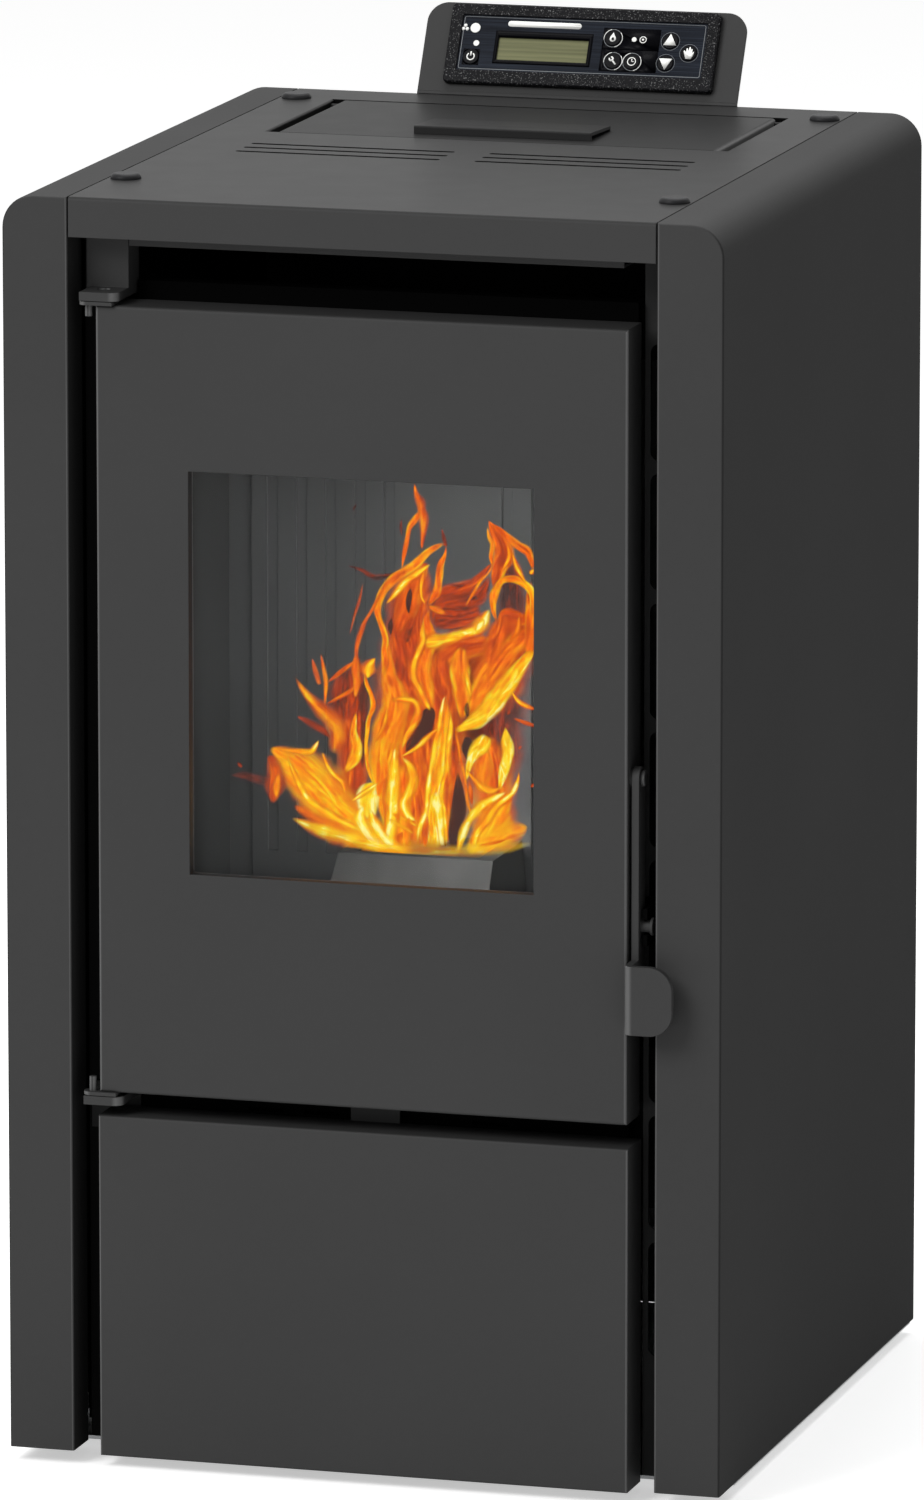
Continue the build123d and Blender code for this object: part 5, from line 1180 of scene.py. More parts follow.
FLAMES: dict[str, tuple[Tongue, ...]] = {
    "glow": (
        haze(20, 0.36, 0.3, 0.93, (950, 1528, 40), (945, 1450, 110), (945, 1330, 165), (940, 1200, 180),
             (930, 1050, 175), (925, 900, 190), (900, 790, 150), (885, 700, 110), (880, 600, 95),
             (895, 500, 85), (925, 430, 50), (950, 380, 8)),
        haze(21, 0.38, 0.32, 0.93, (1180, 1528, 30), (1215, 1450, 80), (1215, 1350, 80), (1210, 1230, 85),
             (1195, 1130, 70), (1190, 1060, 20)),
        haze(21, 0.38, 0.32, 0.93, (1130, 1010, 20), (1180, 930, 70), (1225, 830, 105), (1270, 740, 105),
             (1300, 660, 85), (1345, 600, 40), (1365, 560, 6)),
        haze(22, 0.22, 0.18, 0.88, (620, 1330, 20), (650, 1240, 60), (650, 1130, 60), (655, 1000, 55),
             (660, 900, 45), (665, 800, 30), (672, 740, 6)),
        haze(18, 0.5, 0.44, 0.93, (900, 1520, 30), (760, 1470, 60), (640, 1390, 80), (520, 1300, 85),
             (430, 1220, 60), (370, 1160, 14)),
        haze(19, 0.24, 0.2, 0.88, (1000, 640, 30), (1020, 540, 60), (1100, 520, 50), (1160, 500, 30),
             (1200, 420, 6)),
        haze(24, 0.1, 0.05, 0.62, (960, 1525, 60), (950, 1400, 140), (950, 1200, 180), (940, 1000, 170),
             (900, 860, 110), (870, 700, 80), (865, 560, 50), (880, 470, 10)),
        haze(26, 0.12, 0.06, 0.62, (1230, 1300, 40), (1245, 1150, 85), (1240, 1000, 100), (1250, 850, 100),
             (1280, 700, 80), (1290, 560, 65), (1280, 420, 55), (1240, 300, 24)),
        haze(22, 0.12, 0.08, 0.7, (590, 1010, 14), (600, 950, 40), (605, 890, 52), (615, 830, 38),
             (630, 785, 8), soft=0.8),
    ),
    "fan": (
        haze(8, 0.5, 0.62, 0.93, (810, 1500, 14), (700, 1440, 40), (600, 1360, 75), (500, 1250, 105),
             (420, 1180, 70), (350, 1130, 25), (318, 1118, 8)),
        ridge(-2, 0.8, 0.95, (345, 1118, 2), (420, 1124, 7), (480, 1128, 9), (503, 1104, 7), (516, 1080, 1)),
        ridge(-3, 0.84, 0.95, (680, 1440, 10), (580, 1390, 12), (500, 1340, 12), (460, 1300, 10),
              (420, 1220, 8), (390, 1150, 3)),
        ridge(-4, 0.8, 0.9, (530, 1130, 3), (560, 1200, 7), (610, 1250, 8), (622, 1292, 3)),
        ridge(-6, 0.78, 0.7, (800, 1514, 10), (700, 1490, 24), (600, 1462, 28), (500, 1432, 20),
              (408, 1394, 4)),
        haze(4, 0.25, 0.2, 0.85, (330, 1335, 8), (335, 1280, 34), (345, 1230, 42), (330, 1170, 26),
             (310, 1140, 5), soft=0.95),
        vein(1, 0.42, 0.42, 0.8, (343, 1312, 3), (345, 1270, 12), (350, 1240, 9), (356, 1218, 2)),
        haze(9, 0.06, 0.05, 0.4, (335, 1262, 20), (270, 1240, 22), (210, 1222, 16), (158, 1222, 4), soft=1),
        vein(7, 0.12, 0.12, 0.5, (205, 1190, 4), (195, 1180, 6), (188, 1170, 2)),
        haze(5, 0.3, 0.28, 0.7, (650, 1455, 10), (560, 1420, 26), (480, 1380, 26), (415, 1345, 8), soft=1),
    ),
    "left": (
        ridge(3, 0.6, 0.8, (580, 1135, 16), (592, 1050, 24), (570, 1000, 25), (530, 960, 24), (470, 900, 12),
              (418, 828, 2)),
        haze(1, 0.2, 0.2, 0.7, (430, 985, 4), (480, 1010, 16), (530, 1040, 16), (562, 1072, 4), soft=1),
        edged(Rim.RIGHT, -3, 0.52, 0.9, 0.97, (620, 1207, 7), (655, 1160, 22), (668, 1110, 22),
              (655, 1050, 16), (660, 1000, 9), (665, 968, 1)),
        vein(0, 0.45, 0.45, 0.6, (520, 858, 8), (505, 810, 10), (489, 753, 2)),
        vein(-1, 0.52, 0.52, 0.85, (540, 938, 3), (545, 850, 8), (535, 790, 7), (524, 732, 1)),
        vein(-2, 0.5, 0.5, 0.85, (555, 847, 3), (600, 810, 7), (640, 780, 7), (684, 756, 1)),
        vein(-2, 0.5, 0.5, 0.85, (550, 934, 2), (600, 908, 6), (640, 885, 7), (660, 864, 1)),
        edged(Rim.BOTH, 2, 0.45, 0.55, 0.9, (662, 908, 5), (668, 850, 16), (662, 790, 18), (668, 732, 6),
              soft=0.7),
        vein(-3, 0.45, 0.5, 0.8, (665, 757, 7), (670, 700, 8), (685, 650, 8), (700, 610, 7), (730, 560, 6),
             (750, 520, 6), (775, 470, 4), (793, 434, 1)),
        vein(0, 0.3, 0.3, 0.45, (640, 657, 2), (660, 580, 5), (680, 520, 5), (693, 453, 1)),
        haze(4, 0.15, 0.15, 0.75, (636, 382, 2), (690, 400, 9), (740, 428, 12), (800, 420, 10),
             (874, 397, 2), soft=1),
        haze(4, 0.15, 0.15, 0.4, (654, 160, 3), (660, 150, 5), (669, 139, 1), soft=1),
        gap(14, -0.1, 0.8, 0.6, (690, 1198, 8), (690, 1100, 10), (695, 1000, 14), (695, 930, 26),
            (700, 870, 22), (705, 828, 4)),
        haze(10, 0.22, 0.25, 0.85, (650, 1278, 8), (660, 1240, 36), (665, 1205, 30), (672, 1178, 5)),
    ),
    "middle": (
        ridge(-3, 0.86, 0.97, (712, 832, 3), (714, 802, 21), (722, 777, 17), (744, 750, 1)),
        edged(Rim.LEFT, -4, 0.62, 0.8, 0.97, (740, 1264, 3), (722, 1220, 6), (712, 1180, 7), (706, 1100, 8),
              (711, 1050, 9), (716, 1000, 10), (734, 945, 11), (727, 900, 10), (707, 850, 8), (702, 802, 4)),
        ridge(-5, 0.78, 0.9, (745, 1087, 2), (780, 1005, 6), (791, 946, 1)),
        edged(Rim.BOTH, 8, 0.5, 0.62, 0.95, (800, 1440, 26), (780, 1320, 35), (770, 1180, 58),
              (790, 1050, 60), (825, 930, 58), (800, 830, 36), (786, 720, 20), (785, 650, 8)),
        haze(5, 0.27, 0.25, 0.85, (785, 1462, 6), (790, 1400, 14), (788, 1300, 18), (785, 1228, 5),
             soft=0.8),
        ridge(-4, 0.8, 0.95, (849, 1114, 2), (870, 1060, 10), (904, 1000, 12), (915, 960, 11),
              (898, 926, 10), (850, 917, 9), (800, 921, 3)),
        gap(0, -0.2, 0.3, 0.85, (868, 1132, 8), (900, 1085, 28), (938, 1020, 34), (960, 968, 24),
            (966, 946, 6)),
    ),
    "arch": (
        edged(Rim.BOTH, 0, 0.52, 0.78, 0.95, (775, 834, 4), (785, 770, 13), (780, 720, 13), (784, 680, 13),
              (775, 640, 13), (757, 590, 13), (752, 550, 15), (770, 492, 18), (800, 452, 20), (840, 420, 20),
              (900, 382, 20), (950, 332, 15), (1000, 302, 9), (1024, 297, 1)),
        ridge(-4, 0.9, 0.95, (788, 534, 3), (828, 490, 10), (860, 452, 12), (915, 412, 12), (964, 377, 2)),
        edged(Rim.RIGHT, -1, 0.52, 0.76, 0.95, (956, 540, 4), (975, 510, 14), (988, 490, 17), (998, 430, 17),
              (1004, 380, 15), (1021, 340, 7), (1027, 298, 1)),
        ridge(-3, 0.82, 0.9, (942, 534, 3), (926, 500, 7), (930, 440, 8), (943, 386, 1)),
        haze(8, 0.45, 0.35, 0.92, (826, 650, 10), (856, 585, 34), (880, 520, 48), (902, 450, 44),
             (930, 400, 24), (952, 368, 4)),
        gap(-5, -0.2, 0.5, 0.9, (877, 574, 3), (875, 540, 11), (880, 500, 11), (885, 474, 2)),
        gap(-5, -0.2, 0.5, 0.85, (805, 658, 3), (803, 625, 11), (809, 592, 2)),
        haze(5, 0.27, 0.27, 0.85, (866, 690, 4), (882, 632, 26), (890, 588, 5), soft=0.8),
        vein(2, 0.28, 0.28, 0.85, (1025, 306, 6), (1016, 270, 7), (1008, 235, 1)),
        haze(9, 0.36, 0.3, 0.9, (838, 850, 8), (846, 780, 26), (842, 720, 28), (832, 670, 20),
             (822, 630, 5)),
    ),
    "wisp": (
        ridge(-1, 0.66, 0.9, (926, 170, 10), (925, 135, 14), (908, 100, 9), (899, 56, 1)),
        ridge(-1, 0.62, 0.9, (929, 316, 3), (935, 250, 9), (937, 200, 13), (930, 150, 8)),
        edged(Rim.LEFT, 0, 0.56, 0.66, 0.9, (849, 396, 2), (858, 340, 9), (870, 280, 11), (880, 230, 11),
              (902, 200, 13), (928, 160, 8), soft=0.6),
        haze(2, 0.22, 0.22, 0.55, (850, 264, 2), (845, 230, 7), (848, 196, 1), soft=1),
    ),
    "centre": (
        ridge(-5, 0.84, 0.97, (963, 964, 2), (945, 930, 9), (922, 880, 11), (897, 830, 11), (896, 780, 11),
              (915, 730, 11), (934, 680, 11), (930, 650, 9), (936, 596, 2)),
        edged(Rim.BOTH, 3, 0.5, 0.66, 0.95, (960, 962, 18), (942, 880, 42), (930, 800, 38), (945, 720, 36),
              (960, 660, 26), (948, 600, 14), (960, 556, 3)),
        ridge(-4, 0.96, 0.97, (932, 693, 12), (970, 686, 22), (1010, 678, 18), (1060, 668, 17),
              (1110, 652, 18), (1148, 636, 20), (1172, 608, 19), (1186, 580, 14), (1201, 556, 2)),
        ridge(-7, 1, 0.9, (1146, 648, 4), (1162, 622, 11), (1176, 596, 4)),
        haze(2, 0.28, 0.32, 0.9, (980, 508, 4), (1020, 490, 24), (1060, 482, 30), (1100, 470, 26),
             (1140, 450, 22), (1180, 405, 10), (1213, 366, 1)),
        vein(-2, 0.56, 0.56, 0.85, (1104, 544, 2), (1130, 500, 5), (1160, 450, 5), (1195, 410, 4),
             (1213, 370, 1)),
        haze(10, 0.22, 0.22, 0.85, (985, 600, 20), (1050, 592, 60), (1110, 580, 64), (1165, 565, 30)),
        haze(7, 0.42, 0.42, 0.9, (1000, 770, 24), (1060, 725, 60), (1130, 700, 60), (1200, 690, 24),
             soft=0.9),
        vein(-1, 0.52, 0.52, 0.9, (956, 546, 4), (990, 560, 13), (1024, 573, 3)),
        edged(Rim.BOTH, 2, 0.5, 0.74, 0.95, (1090, 994, 10), (1090, 900, 34), (1080, 820, 40),
              (1082, 750, 34), (1090, 708, 8)),
        ridge(-3, 0.84, 0.9, (1125, 907, 2), (1113, 850, 8), (1107, 798, 2)),
        haze(-3, 0.02, 0.02, 0.6, (1113, 987, 4), (1108, 955, 11), (1110, 928, 3)),
        haze(6, 0.4, 0.36, 0.92, (1020, 900, 10), (1012, 830, 26), (1010, 760, 30), (1020, 710, 12)),
    ),
    "right": (
        edged(Rim.BOTH, 5, 0.38, 0.58, 0.93, (1215, 472, 8), (1235, 400, 32), (1255, 340, 44),
              (1240, 280, 36), (1210, 235, 16), (1193, 201, 1)),
        edged(Rim.RIGHT, 2, 0.42, 0.66, 0.93, (1374, 404, 5), (1352, 332, 18), (1310, 302, 16),
              (1255, 257, 15), (1210, 222, 8), (1194, 203, 1)),
        ridge(-3, 0.8, 0.92, (1249, 404, 2), (1277, 350, 9), (1269, 298, 2)),
        ridge(-3, 0.76, 0.92, (1343, 454, 2), (1312, 400, 9), (1289, 336, 2)),
        edged(Rim.LEFT, -1, 0.62, 0.7, 0.92, (1211, 384, 3), (1204, 350, 8), (1210, 300, 10), (1196, 270, 8),
              (1189, 226, 1), soft=0.6),
        edged(Rim.BOTH, -2, 0.58, 0.78, 0.97, (1227, 606, 3), (1214, 560, 13), (1214, 510, 17),
              (1230, 470, 15), (1252, 442, 14), (1300, 438, 15), (1350, 468, 15), (1371, 510, 13),
              (1366, 604, 4)),
        edged(Rim.BOTH, 3, 0.5, 0.56, 0.93, (1360, 764, 6), (1358, 690, 20), (1360, 600, 20),
              (1362, 520, 20), (1360, 446, 6)),
        ridge(-2, 0.62, 0.9, (1277, 684, 2), (1310, 640, 10), (1317, 586, 1)),
        ridge(-5, 0.88, 0.9, (1358, 417, 3), (1366, 410, 8), (1373, 400, 2)),
        edged(Rim.BOTH, 4, 0.36, 0.48, 0.9, (1235, 600, 8), (1262, 580, 26), (1300, 590, 30),
              (1335, 600, 20), (1350, 580, 5)),
        haze(4, 0.44, 0.4, 0.93, (1190, 800, 10), (1215, 720, 40), (1240, 650, 44), (1250, 600, 24),
             (1245, 570, 5)),
    ),
    "sweep": (
        edged(Rim.BOTH, 5, 0.5, 0.6, 0.95, (1118, 980, 8), (1165, 880, 40), (1200, 805, 48), (1265, 725, 48),
              (1335, 665, 32), (1374, 640, 8)),
        edged(Rim.RIGHT, -3, 0.78, 0.92, 0.97, (1062, 1042, 8), (1110, 1020, 22), (1160, 990, 34),
              (1215, 930, 38), (1260, 870, 38), (1310, 800, 30), (1352, 745, 18), (1378, 718, 4)),
        gap(-1, -0.2, 0.3, 0.88, (1112, 1162, 6), (1112, 1112, 23), (1112, 1066, 10)),
        ridge(-2, 0.82, 0.92, (1287, 886, 2), (1312, 922, 7), (1342, 942, 8), (1382, 957, 4)),
        vein(0, 0.3, 0.3, 0.85, (1297, 993, 2), (1340, 1010, 8), (1382, 1023, 5)),
        vein(0, 0.28, 0.28, 0.7, (1314, 1116, 2), (1320, 1108, 5), (1327, 1102, 1)),
        vein(0, 0.28, 0.28, 0.7, (1270, 976, 2), (1275, 969, 5), (1281, 962, 1)),
        vein(0, 0.28, 0.28, 0.7, (1363, 1267, 2), (1370, 1260, 6), (1377, 1252, 1)),
    ),
    "core": (
        edged(Rim.BOTH, 2, 0.64, 0.86, 0.97, (972, 1515, 28), (978, 1440, 34), (978, 1380, 36),
              (980, 1320, 32), (986, 1260, 34), (1000, 1180, 36), (1010, 1100, 36), (1022, 1020, 28),
              (1024, 960, 14), (1026, 901, 1)),
        ridge(-3, 0.9, 0.97, (912, 1485, 4), (920, 1430, 9), (940, 1380, 9), (950, 1330, 9), (956, 1250, 9),
              (966, 1200, 9), (976, 1150, 10), (986, 1080, 10), (1003, 1000, 10), (1014, 925, 4),
              (1025, 903, 1)),
        ridge(-4, 0.8, 0.92, (849, 1144, 2), (910, 1108, 7), (950, 1070, 8), (1002, 1028, 2)),
        ridge(-3, 0.84, 0.95, (1027, 1504, 4), (1024, 1420, 8), (1020, 1360, 8), (1006, 1320, 8),
              (1012, 1260, 8), (1030, 1200, 9), (1036, 1100, 9), (1045, 1020, 7), (1040, 955, 1)),
        ridge(-6, 1, 0.97, (1011, 1504, 8), (1002, 1420, 11), (996, 1370, 14), (987, 1330, 16),
              (988, 1286, 5)),
        haze(-1, 0.25, 0.22, 0.88, (938, 1508, 8), (944, 1440, 17), (951, 1382, 4), soft=0.8),
        haze(3, 0.26, 0.26, 0.85, (1055, 1288, 4), (1057, 1200, 15), (1056, 1100, 17), (1052, 996, 5),
             soft=0.8),
        vein(-2, 0.52, 0.52, 0.88, (1127, 1384, 2), (1111, 1320, 5), (1100, 1230, 5), (1085, 1160, 5),
             (1075, 1100, 5), (1059, 1036, 1)),
        gap(1, -0.2, 0.3, 0.92, (1052, 1532, 5), (1058, 1450, 26), (1075, 1360, 30), (1076, 1290, 20),
            (1073, 1206, 3)),
    ),
    "ladder": (
        ridge(-2, 0.92, 0.97, (810, 1494, 8), (801, 1460, 18), (810, 1400, 22), (815, 1300, 22),
              (818, 1200, 18), (820, 1150, 10), (821, 1112, 1)),
        ridge(-3, 0.86, 0.95, (904, 1404, 3), (872, 1380, 14), (856, 1330, 16), (879, 1290, 16),
              (894, 1232, 16), (880, 1182, 12), (846, 1146, 2)),
        ridge(-4, 0.7, 0.7, (813, 1376, 4), (860, 1398, 7), (908, 1424, 3)),
        ridge(-4, 0.7, 0.7, (796, 1396, 4), (845, 1425, 7), (895, 1454, 3)),
        edged(Rim.BOTH, 5, 0.4, 0.5, 0.93, (850, 1505, 30), (850, 1430, 38), (846, 1350, 34),
              (848, 1260, 36), (850, 1175, 16)),
        haze(-5, 0.3, 0.3, 0.6, (834, 1412, 3), (832, 1390, 10), (839, 1368, 2), soft=0.9),
        haze(-5, 0.3, 0.3, 0.6, (867, 1430, 3), (872, 1409, 9), (879, 1390, 2), soft=0.9),
        haze(-5, 0.25, 0.25, 0.8, (834, 1490, 4), (842, 1468, 12), (851, 1448, 3), soft=0.8),
    ),
    "root": (
        ridge(-4, 1, 0.97, (754, 1504, 12), (722, 1470, 16), (692, 1422, 16), (682, 1380, 14),
              (693, 1346, 3)),
        ridge(-5, 1, 0.97, (814, 1504, 10), (770, 1462, 15), (740, 1412, 15), (719, 1356, 3)),
        edged(Rim.BOTH, 4, 0.7, 0.84, 0.93, (712, 1395, 26), (712, 1340, 46), (714, 1290, 42),
              (742, 1250, 6)),
        ridge(-5, 0.88, 0.93, (648, 1324, 2), (698, 1291, 8), (759, 1249, 1)),
        haze(6, 0.55, 0.6, 0.9, (860, 1515, 14), (760, 1480, 40), (690, 1440, 40), (640, 1400, 22),
             (610, 1380, 6)),
    ),
    "low": (
        edged(Rim.LEFT, -2, 0.78, 0.86, 0.97, (1107, 1238, 4), (1118, 1180, 14), (1138, 1130, 26),
              (1170, 1095, 34), (1186, 1060, 18)),
        edged(Rim.RIGHT, -3, 0.74, 0.88, 0.97, (1238, 1278, 6), (1256, 1200, 20), (1272, 1130, 24),
              (1266, 1075, 20), (1262, 1027, 2)),
        haze(2, 0.5, 0.5, 0.9, (1165, 1290, 8), (1168, 1222, 36), (1180, 1160, 30), (1190, 1120, 8)),
        haze(0, 0.24, 0.24, 0.85, (1129, 1338, 3), (1124, 1292, 10), (1119, 1246, 3)),
        ridge(-4, 0.82, 0.93, (1106, 1196, 2), (1150, 1250, 9), (1200, 1281, 10), (1244, 1269, 2)),
        ridge(-4, 0.9, 0.95, (1072, 1532, 5), (1094, 1450, 12), (1125, 1390, 13), (1170, 1340, 14),
              (1220, 1310, 12), (1264, 1287, 2)),
        ridge(-3, 0.78, 0.93, (1130, 1514, 8), (1150, 1450, 11), (1190, 1400, 12), (1230, 1342, 12),
              (1288, 1292, 9), (1311, 1242, 6), (1316, 1201, 1)),
        haze(6, 0.5, 0.6, 0.93, (1110, 1525, 16), (1180, 1470, 60), (1225, 1400, 60), (1258, 1340, 30),
             (1290, 1298, 4), soft=0.8),
        haze(4, 0.52, 0.5, 0.75, (1150, 1500, 20), (1240, 1465, 48), (1310, 1440, 40), (1350, 1425, 8),
             soft=1),
        vein(-4, 0.3, 0.3, 0.8, (1156, 1501, 2), (1210, 1492, 6), (1264, 1479, 2)),
        haze(-8, 0.6, 0.62, 0.3, (640, 1500, 4), (760, 1514, 20), (900, 1522, 26), (1050, 1524, 26),
             (1180, 1518, 26), (1290, 1506, 20), (1370, 1490, 4), soft=1),
    ),
}


@dataclass
class Fire:
    """Flames over the fire pot and the glowing bed in it; lengths in mm.

    The sheet and step values lay the traced sheet on the start plane, fitted to the photograph's camera.
    The sight values follow its line of sight: mm aside and down for each mm behind that plane.
    """

    flame: Material
    embers: Material
    start_y: float = 125.0
    sheet_left: float = -136.0
    sheet_top: float = 530.1
    step_across: float = 0.144
    step_down: float = 0.1405
    sheet_slope: float = 0.0077
    sight_across: float = 0.292
    sight_down: float = 0.206
    widen: float = 1.12
    ring_points: int = 24
    steps: int = 6
    thickness_share: float = 0.3
    thickest: float = 3.2
    least_half: float = 0.12
    sway_share: float = 0.2
    sway_length: float = 7.0
    flare_least: float = 0.8
    flare_share: float = 0.7
    flare_length: float = 6.0
    flare_seed: float = 50.0
    flow_length: float = 8.0
    start_fade: float = 0.1
    end_fade: float = 0.14
    end_cover: float = 0.3
    core_reach: float = 0.8
    rim_pull: float = 0.62
    rim_width: float = 0.25
    group_seed: float = 37.0
    tongue_seed: float = 5.3
    hottest_z: float = 322.0
    cooling: float = 90.0
    root_heat: float = 0.16
    root_coldest: float = -0.2
    root_from_heat: float = 0.1
    pellets: int = 90
    pellet_seed: int = 7
    pellet_sides: int = 10
    pellet_radius: float = 3.0
    pellet_half: float = 6.0
    pellet_tilt_deg: float = 14.0
    pellet_layers: int = 3
    layer_height: float = 3.6
    first_layer: float = 4.0
    bed_sag: float = 0.012
    bed_top: float = 314.0
    bed_half_width: float = 27.0
    bed_front: float = 118.5
    bed_back: float = 142.5

    def build(self) -> None:
        """Makes every group of flames, then the bed."""
        for number, (group, tongues) in enumerate(FLAMES.items()):
            self.group(f"flame_{group}", tongues, number * self.group_seed)
        self.bed()

    def group(self, name: str, tongues: tuple[Tongue, ...], seed: float) -> None:
        """Makes one piece of several tongues.

        Args:
            name: the piece's name.
            tongues: what it is made of.
            seed: offset in the strands' pattern.
        """
        piece = Piece(name, "pot", [self.flame])
        floats = piece.shape.verts.layers.float
        for layer in ("warmth", "veil"):
            floats.new(layer)
        layers = (floats["warmth"], floats["veil"])
        flow: dict[int, Flat] = {}
        for number, tongue in enumerate(tongues):
            self.tongue(piece, tongue, layers, flow, seed + number * self.tongue_seed)
        piece.shape.verts.index_update()
        sheet = piece.shape.loops.layers.uv.new("UVMap")
        for face in piece.shape.faces:
            for loop in face.loops:
                loop[sheet].uv = flow[loop.vert.index]
        made = piece.done()
        made.visible_diffuse = made.visible_glossy = made.visible_shadow = False

    def placed(self, tongue: Tongue) -> list[Point]:
        """Brings a tongue's line to size, where it is seen as it was traced.

        Args:
            tongue: the tongue as traced.

        Returns:
            Its line as (x, z, half width) in mm.
        """
        wide = self.widen * self.step_across * tongue.widen
        aside, under = self.sight_across * tongue.behind, self.sight_down * tongue.behind
        return [(self.sheet_left + across * self.step_across - aside,
                 self.sheet_top - down * self.step_down + across * self.sheet_slope - under,
                 half * wide) for across, down, half in tongue.line]

    def tongue(self, piece: Piece, tongue: Tongue, layers: tuple, flow: dict[int, Flat], seed: float) -> None:
        """Adds one tongue: a thin closed shell along its line.

        Args:
            piece: the piece that it joins.
            tongue: the tongue as traced.
            layers: the heat and veil layers.
            flow: place of each vertex across and along the tongue.
            seed: offset in the strands' pattern.
        """
        path = smooth_line(self.placed(tongue), self.steps)
        last = len(path) - 1
        along, rings, marks = 0.0, [], []
        for i, (x, z, half) in enumerate(path):
            ahead, back = path[min(last, i + 1)], path[max(0, i - 1)]
            run = Vector((ahead.x - back.x, ahead.y - back.y))
            left = Vector((-run.y, run.x)).normalized()
            sway = self.sway_share * noise.noise(Vector((along / self.sway_length, seed, 0.0)))
            half = max(self.least_half, half * (1 + sway))
            thick = min(self.thickest, half * self.thickness_share)
            along += (path[i] - back).xy.length
            flicker = noise.noise(Vector((along / self.flare_length, seed + self.flare_seed, 0.0)))
            flare = self.flare_least + self.flare_share * flicker
            cooled = max(self.root_coldest, 1 - (z - self.hottest_z) / self.cooling)
            root = self.root_heat * min(1.0, cooled) if tongue.heat > self.root_from_heat else 0.0
            fade = (ease(0.0, self.start_fade, (i + self.end_cover) / last)
                    * ease(0.0, self.end_fade, (last - i + self.end_cover) / last))
            ring = []
            for k in range(self.ring_points):
                angle = 2 * math.pi * k / self.ring_points
                across, out = math.cos(angle), math.sin(angle)
                flat = Vector((x, z)) - left * across * half
                ring.append(stove(flat.x, self.start_y + tongue.behind - out * thick, flat.y))
                shine = self.shine(tongue, across) * flare
                cover = ease(0.0, tongue.soft, 1 - abs(across)) * fade * tongue.veil
                warmth = tongue.heat + (tongue.bright - tongue.heat) * shine + root
                spot = (seed + across * half / self.flow_length, along / self.flow_length)
                marks.append((warmth, cover, spot))
            rings.append(ring)
        base = len(piece.shape.verts)
        for j, (vertex, (warmth, cover, spot)) in enumerate(zip(piece.loft(rings), marks)):
            vertex[layers[0]], vertex[layers[1]] = warmth, cover
            flow[base + j] = spot

    def shine(self, tongue: Tongue, across: float) -> float:
        """How much of the bright part's heat a place across a tongue has.

        Args:
            tongue: the tongue.
            across: -1 at the left rim, 1 at the right.

        Returns:
            A share from 0 to 1.
        """
        if tongue.rim is Rim.MIDDLE:
            return 1 - ease(0.0, self.core_reach, abs(across))
        where = {Rim.LEFT: -across, Rim.RIGHT: across, Rim.BOTH: abs(across)}[tongue.rim]
        return math.exp(-(((where - (1 - self.rim_pull * tongue.soft)) / self.rim_width) ** 2))

    def bed(self) -> None:
        """Heaps charred pellets in the pot."""
        chance = random.Random(self.pellet_seed)
        piece = Piece("ember_bed", "pot", [self.embers])
        r, h = self.pellet_radius, self.pellet_half
        profile = [(r * 0.6, -h), (r * 0.93, -h + 0.5), (r, -h + 1.4), (r * 0.97, 0.0), (r, h - 1.6),
                   (r * 0.92, h - 0.5), (r * 0.55, h)]
        for number in range(self.pellets):
            x = chance.uniform(-1, 1) * self.bed_half_width
            y = chance.uniform(self.bed_front, self.bed_back)
            under = self.first_layer + number % self.pellet_layers * self.layer_height + self.bed_sag * x * x
            centre = stove(x, y, self.bed_top - under)
            spin = Matrix.Rotation(chance.uniform(0, math.tau), 4, "Z")
            tilt = chance.uniform(-self.pellet_tilt_deg, self.pellet_tilt_deg)
            lie = Matrix.Rotation(math.radians(90 + tilt), 4, "X")
            piece.turned(profile, Matrix.Translation(centre) @ spin @ lie, self.pellet_sides)
        piece.done()


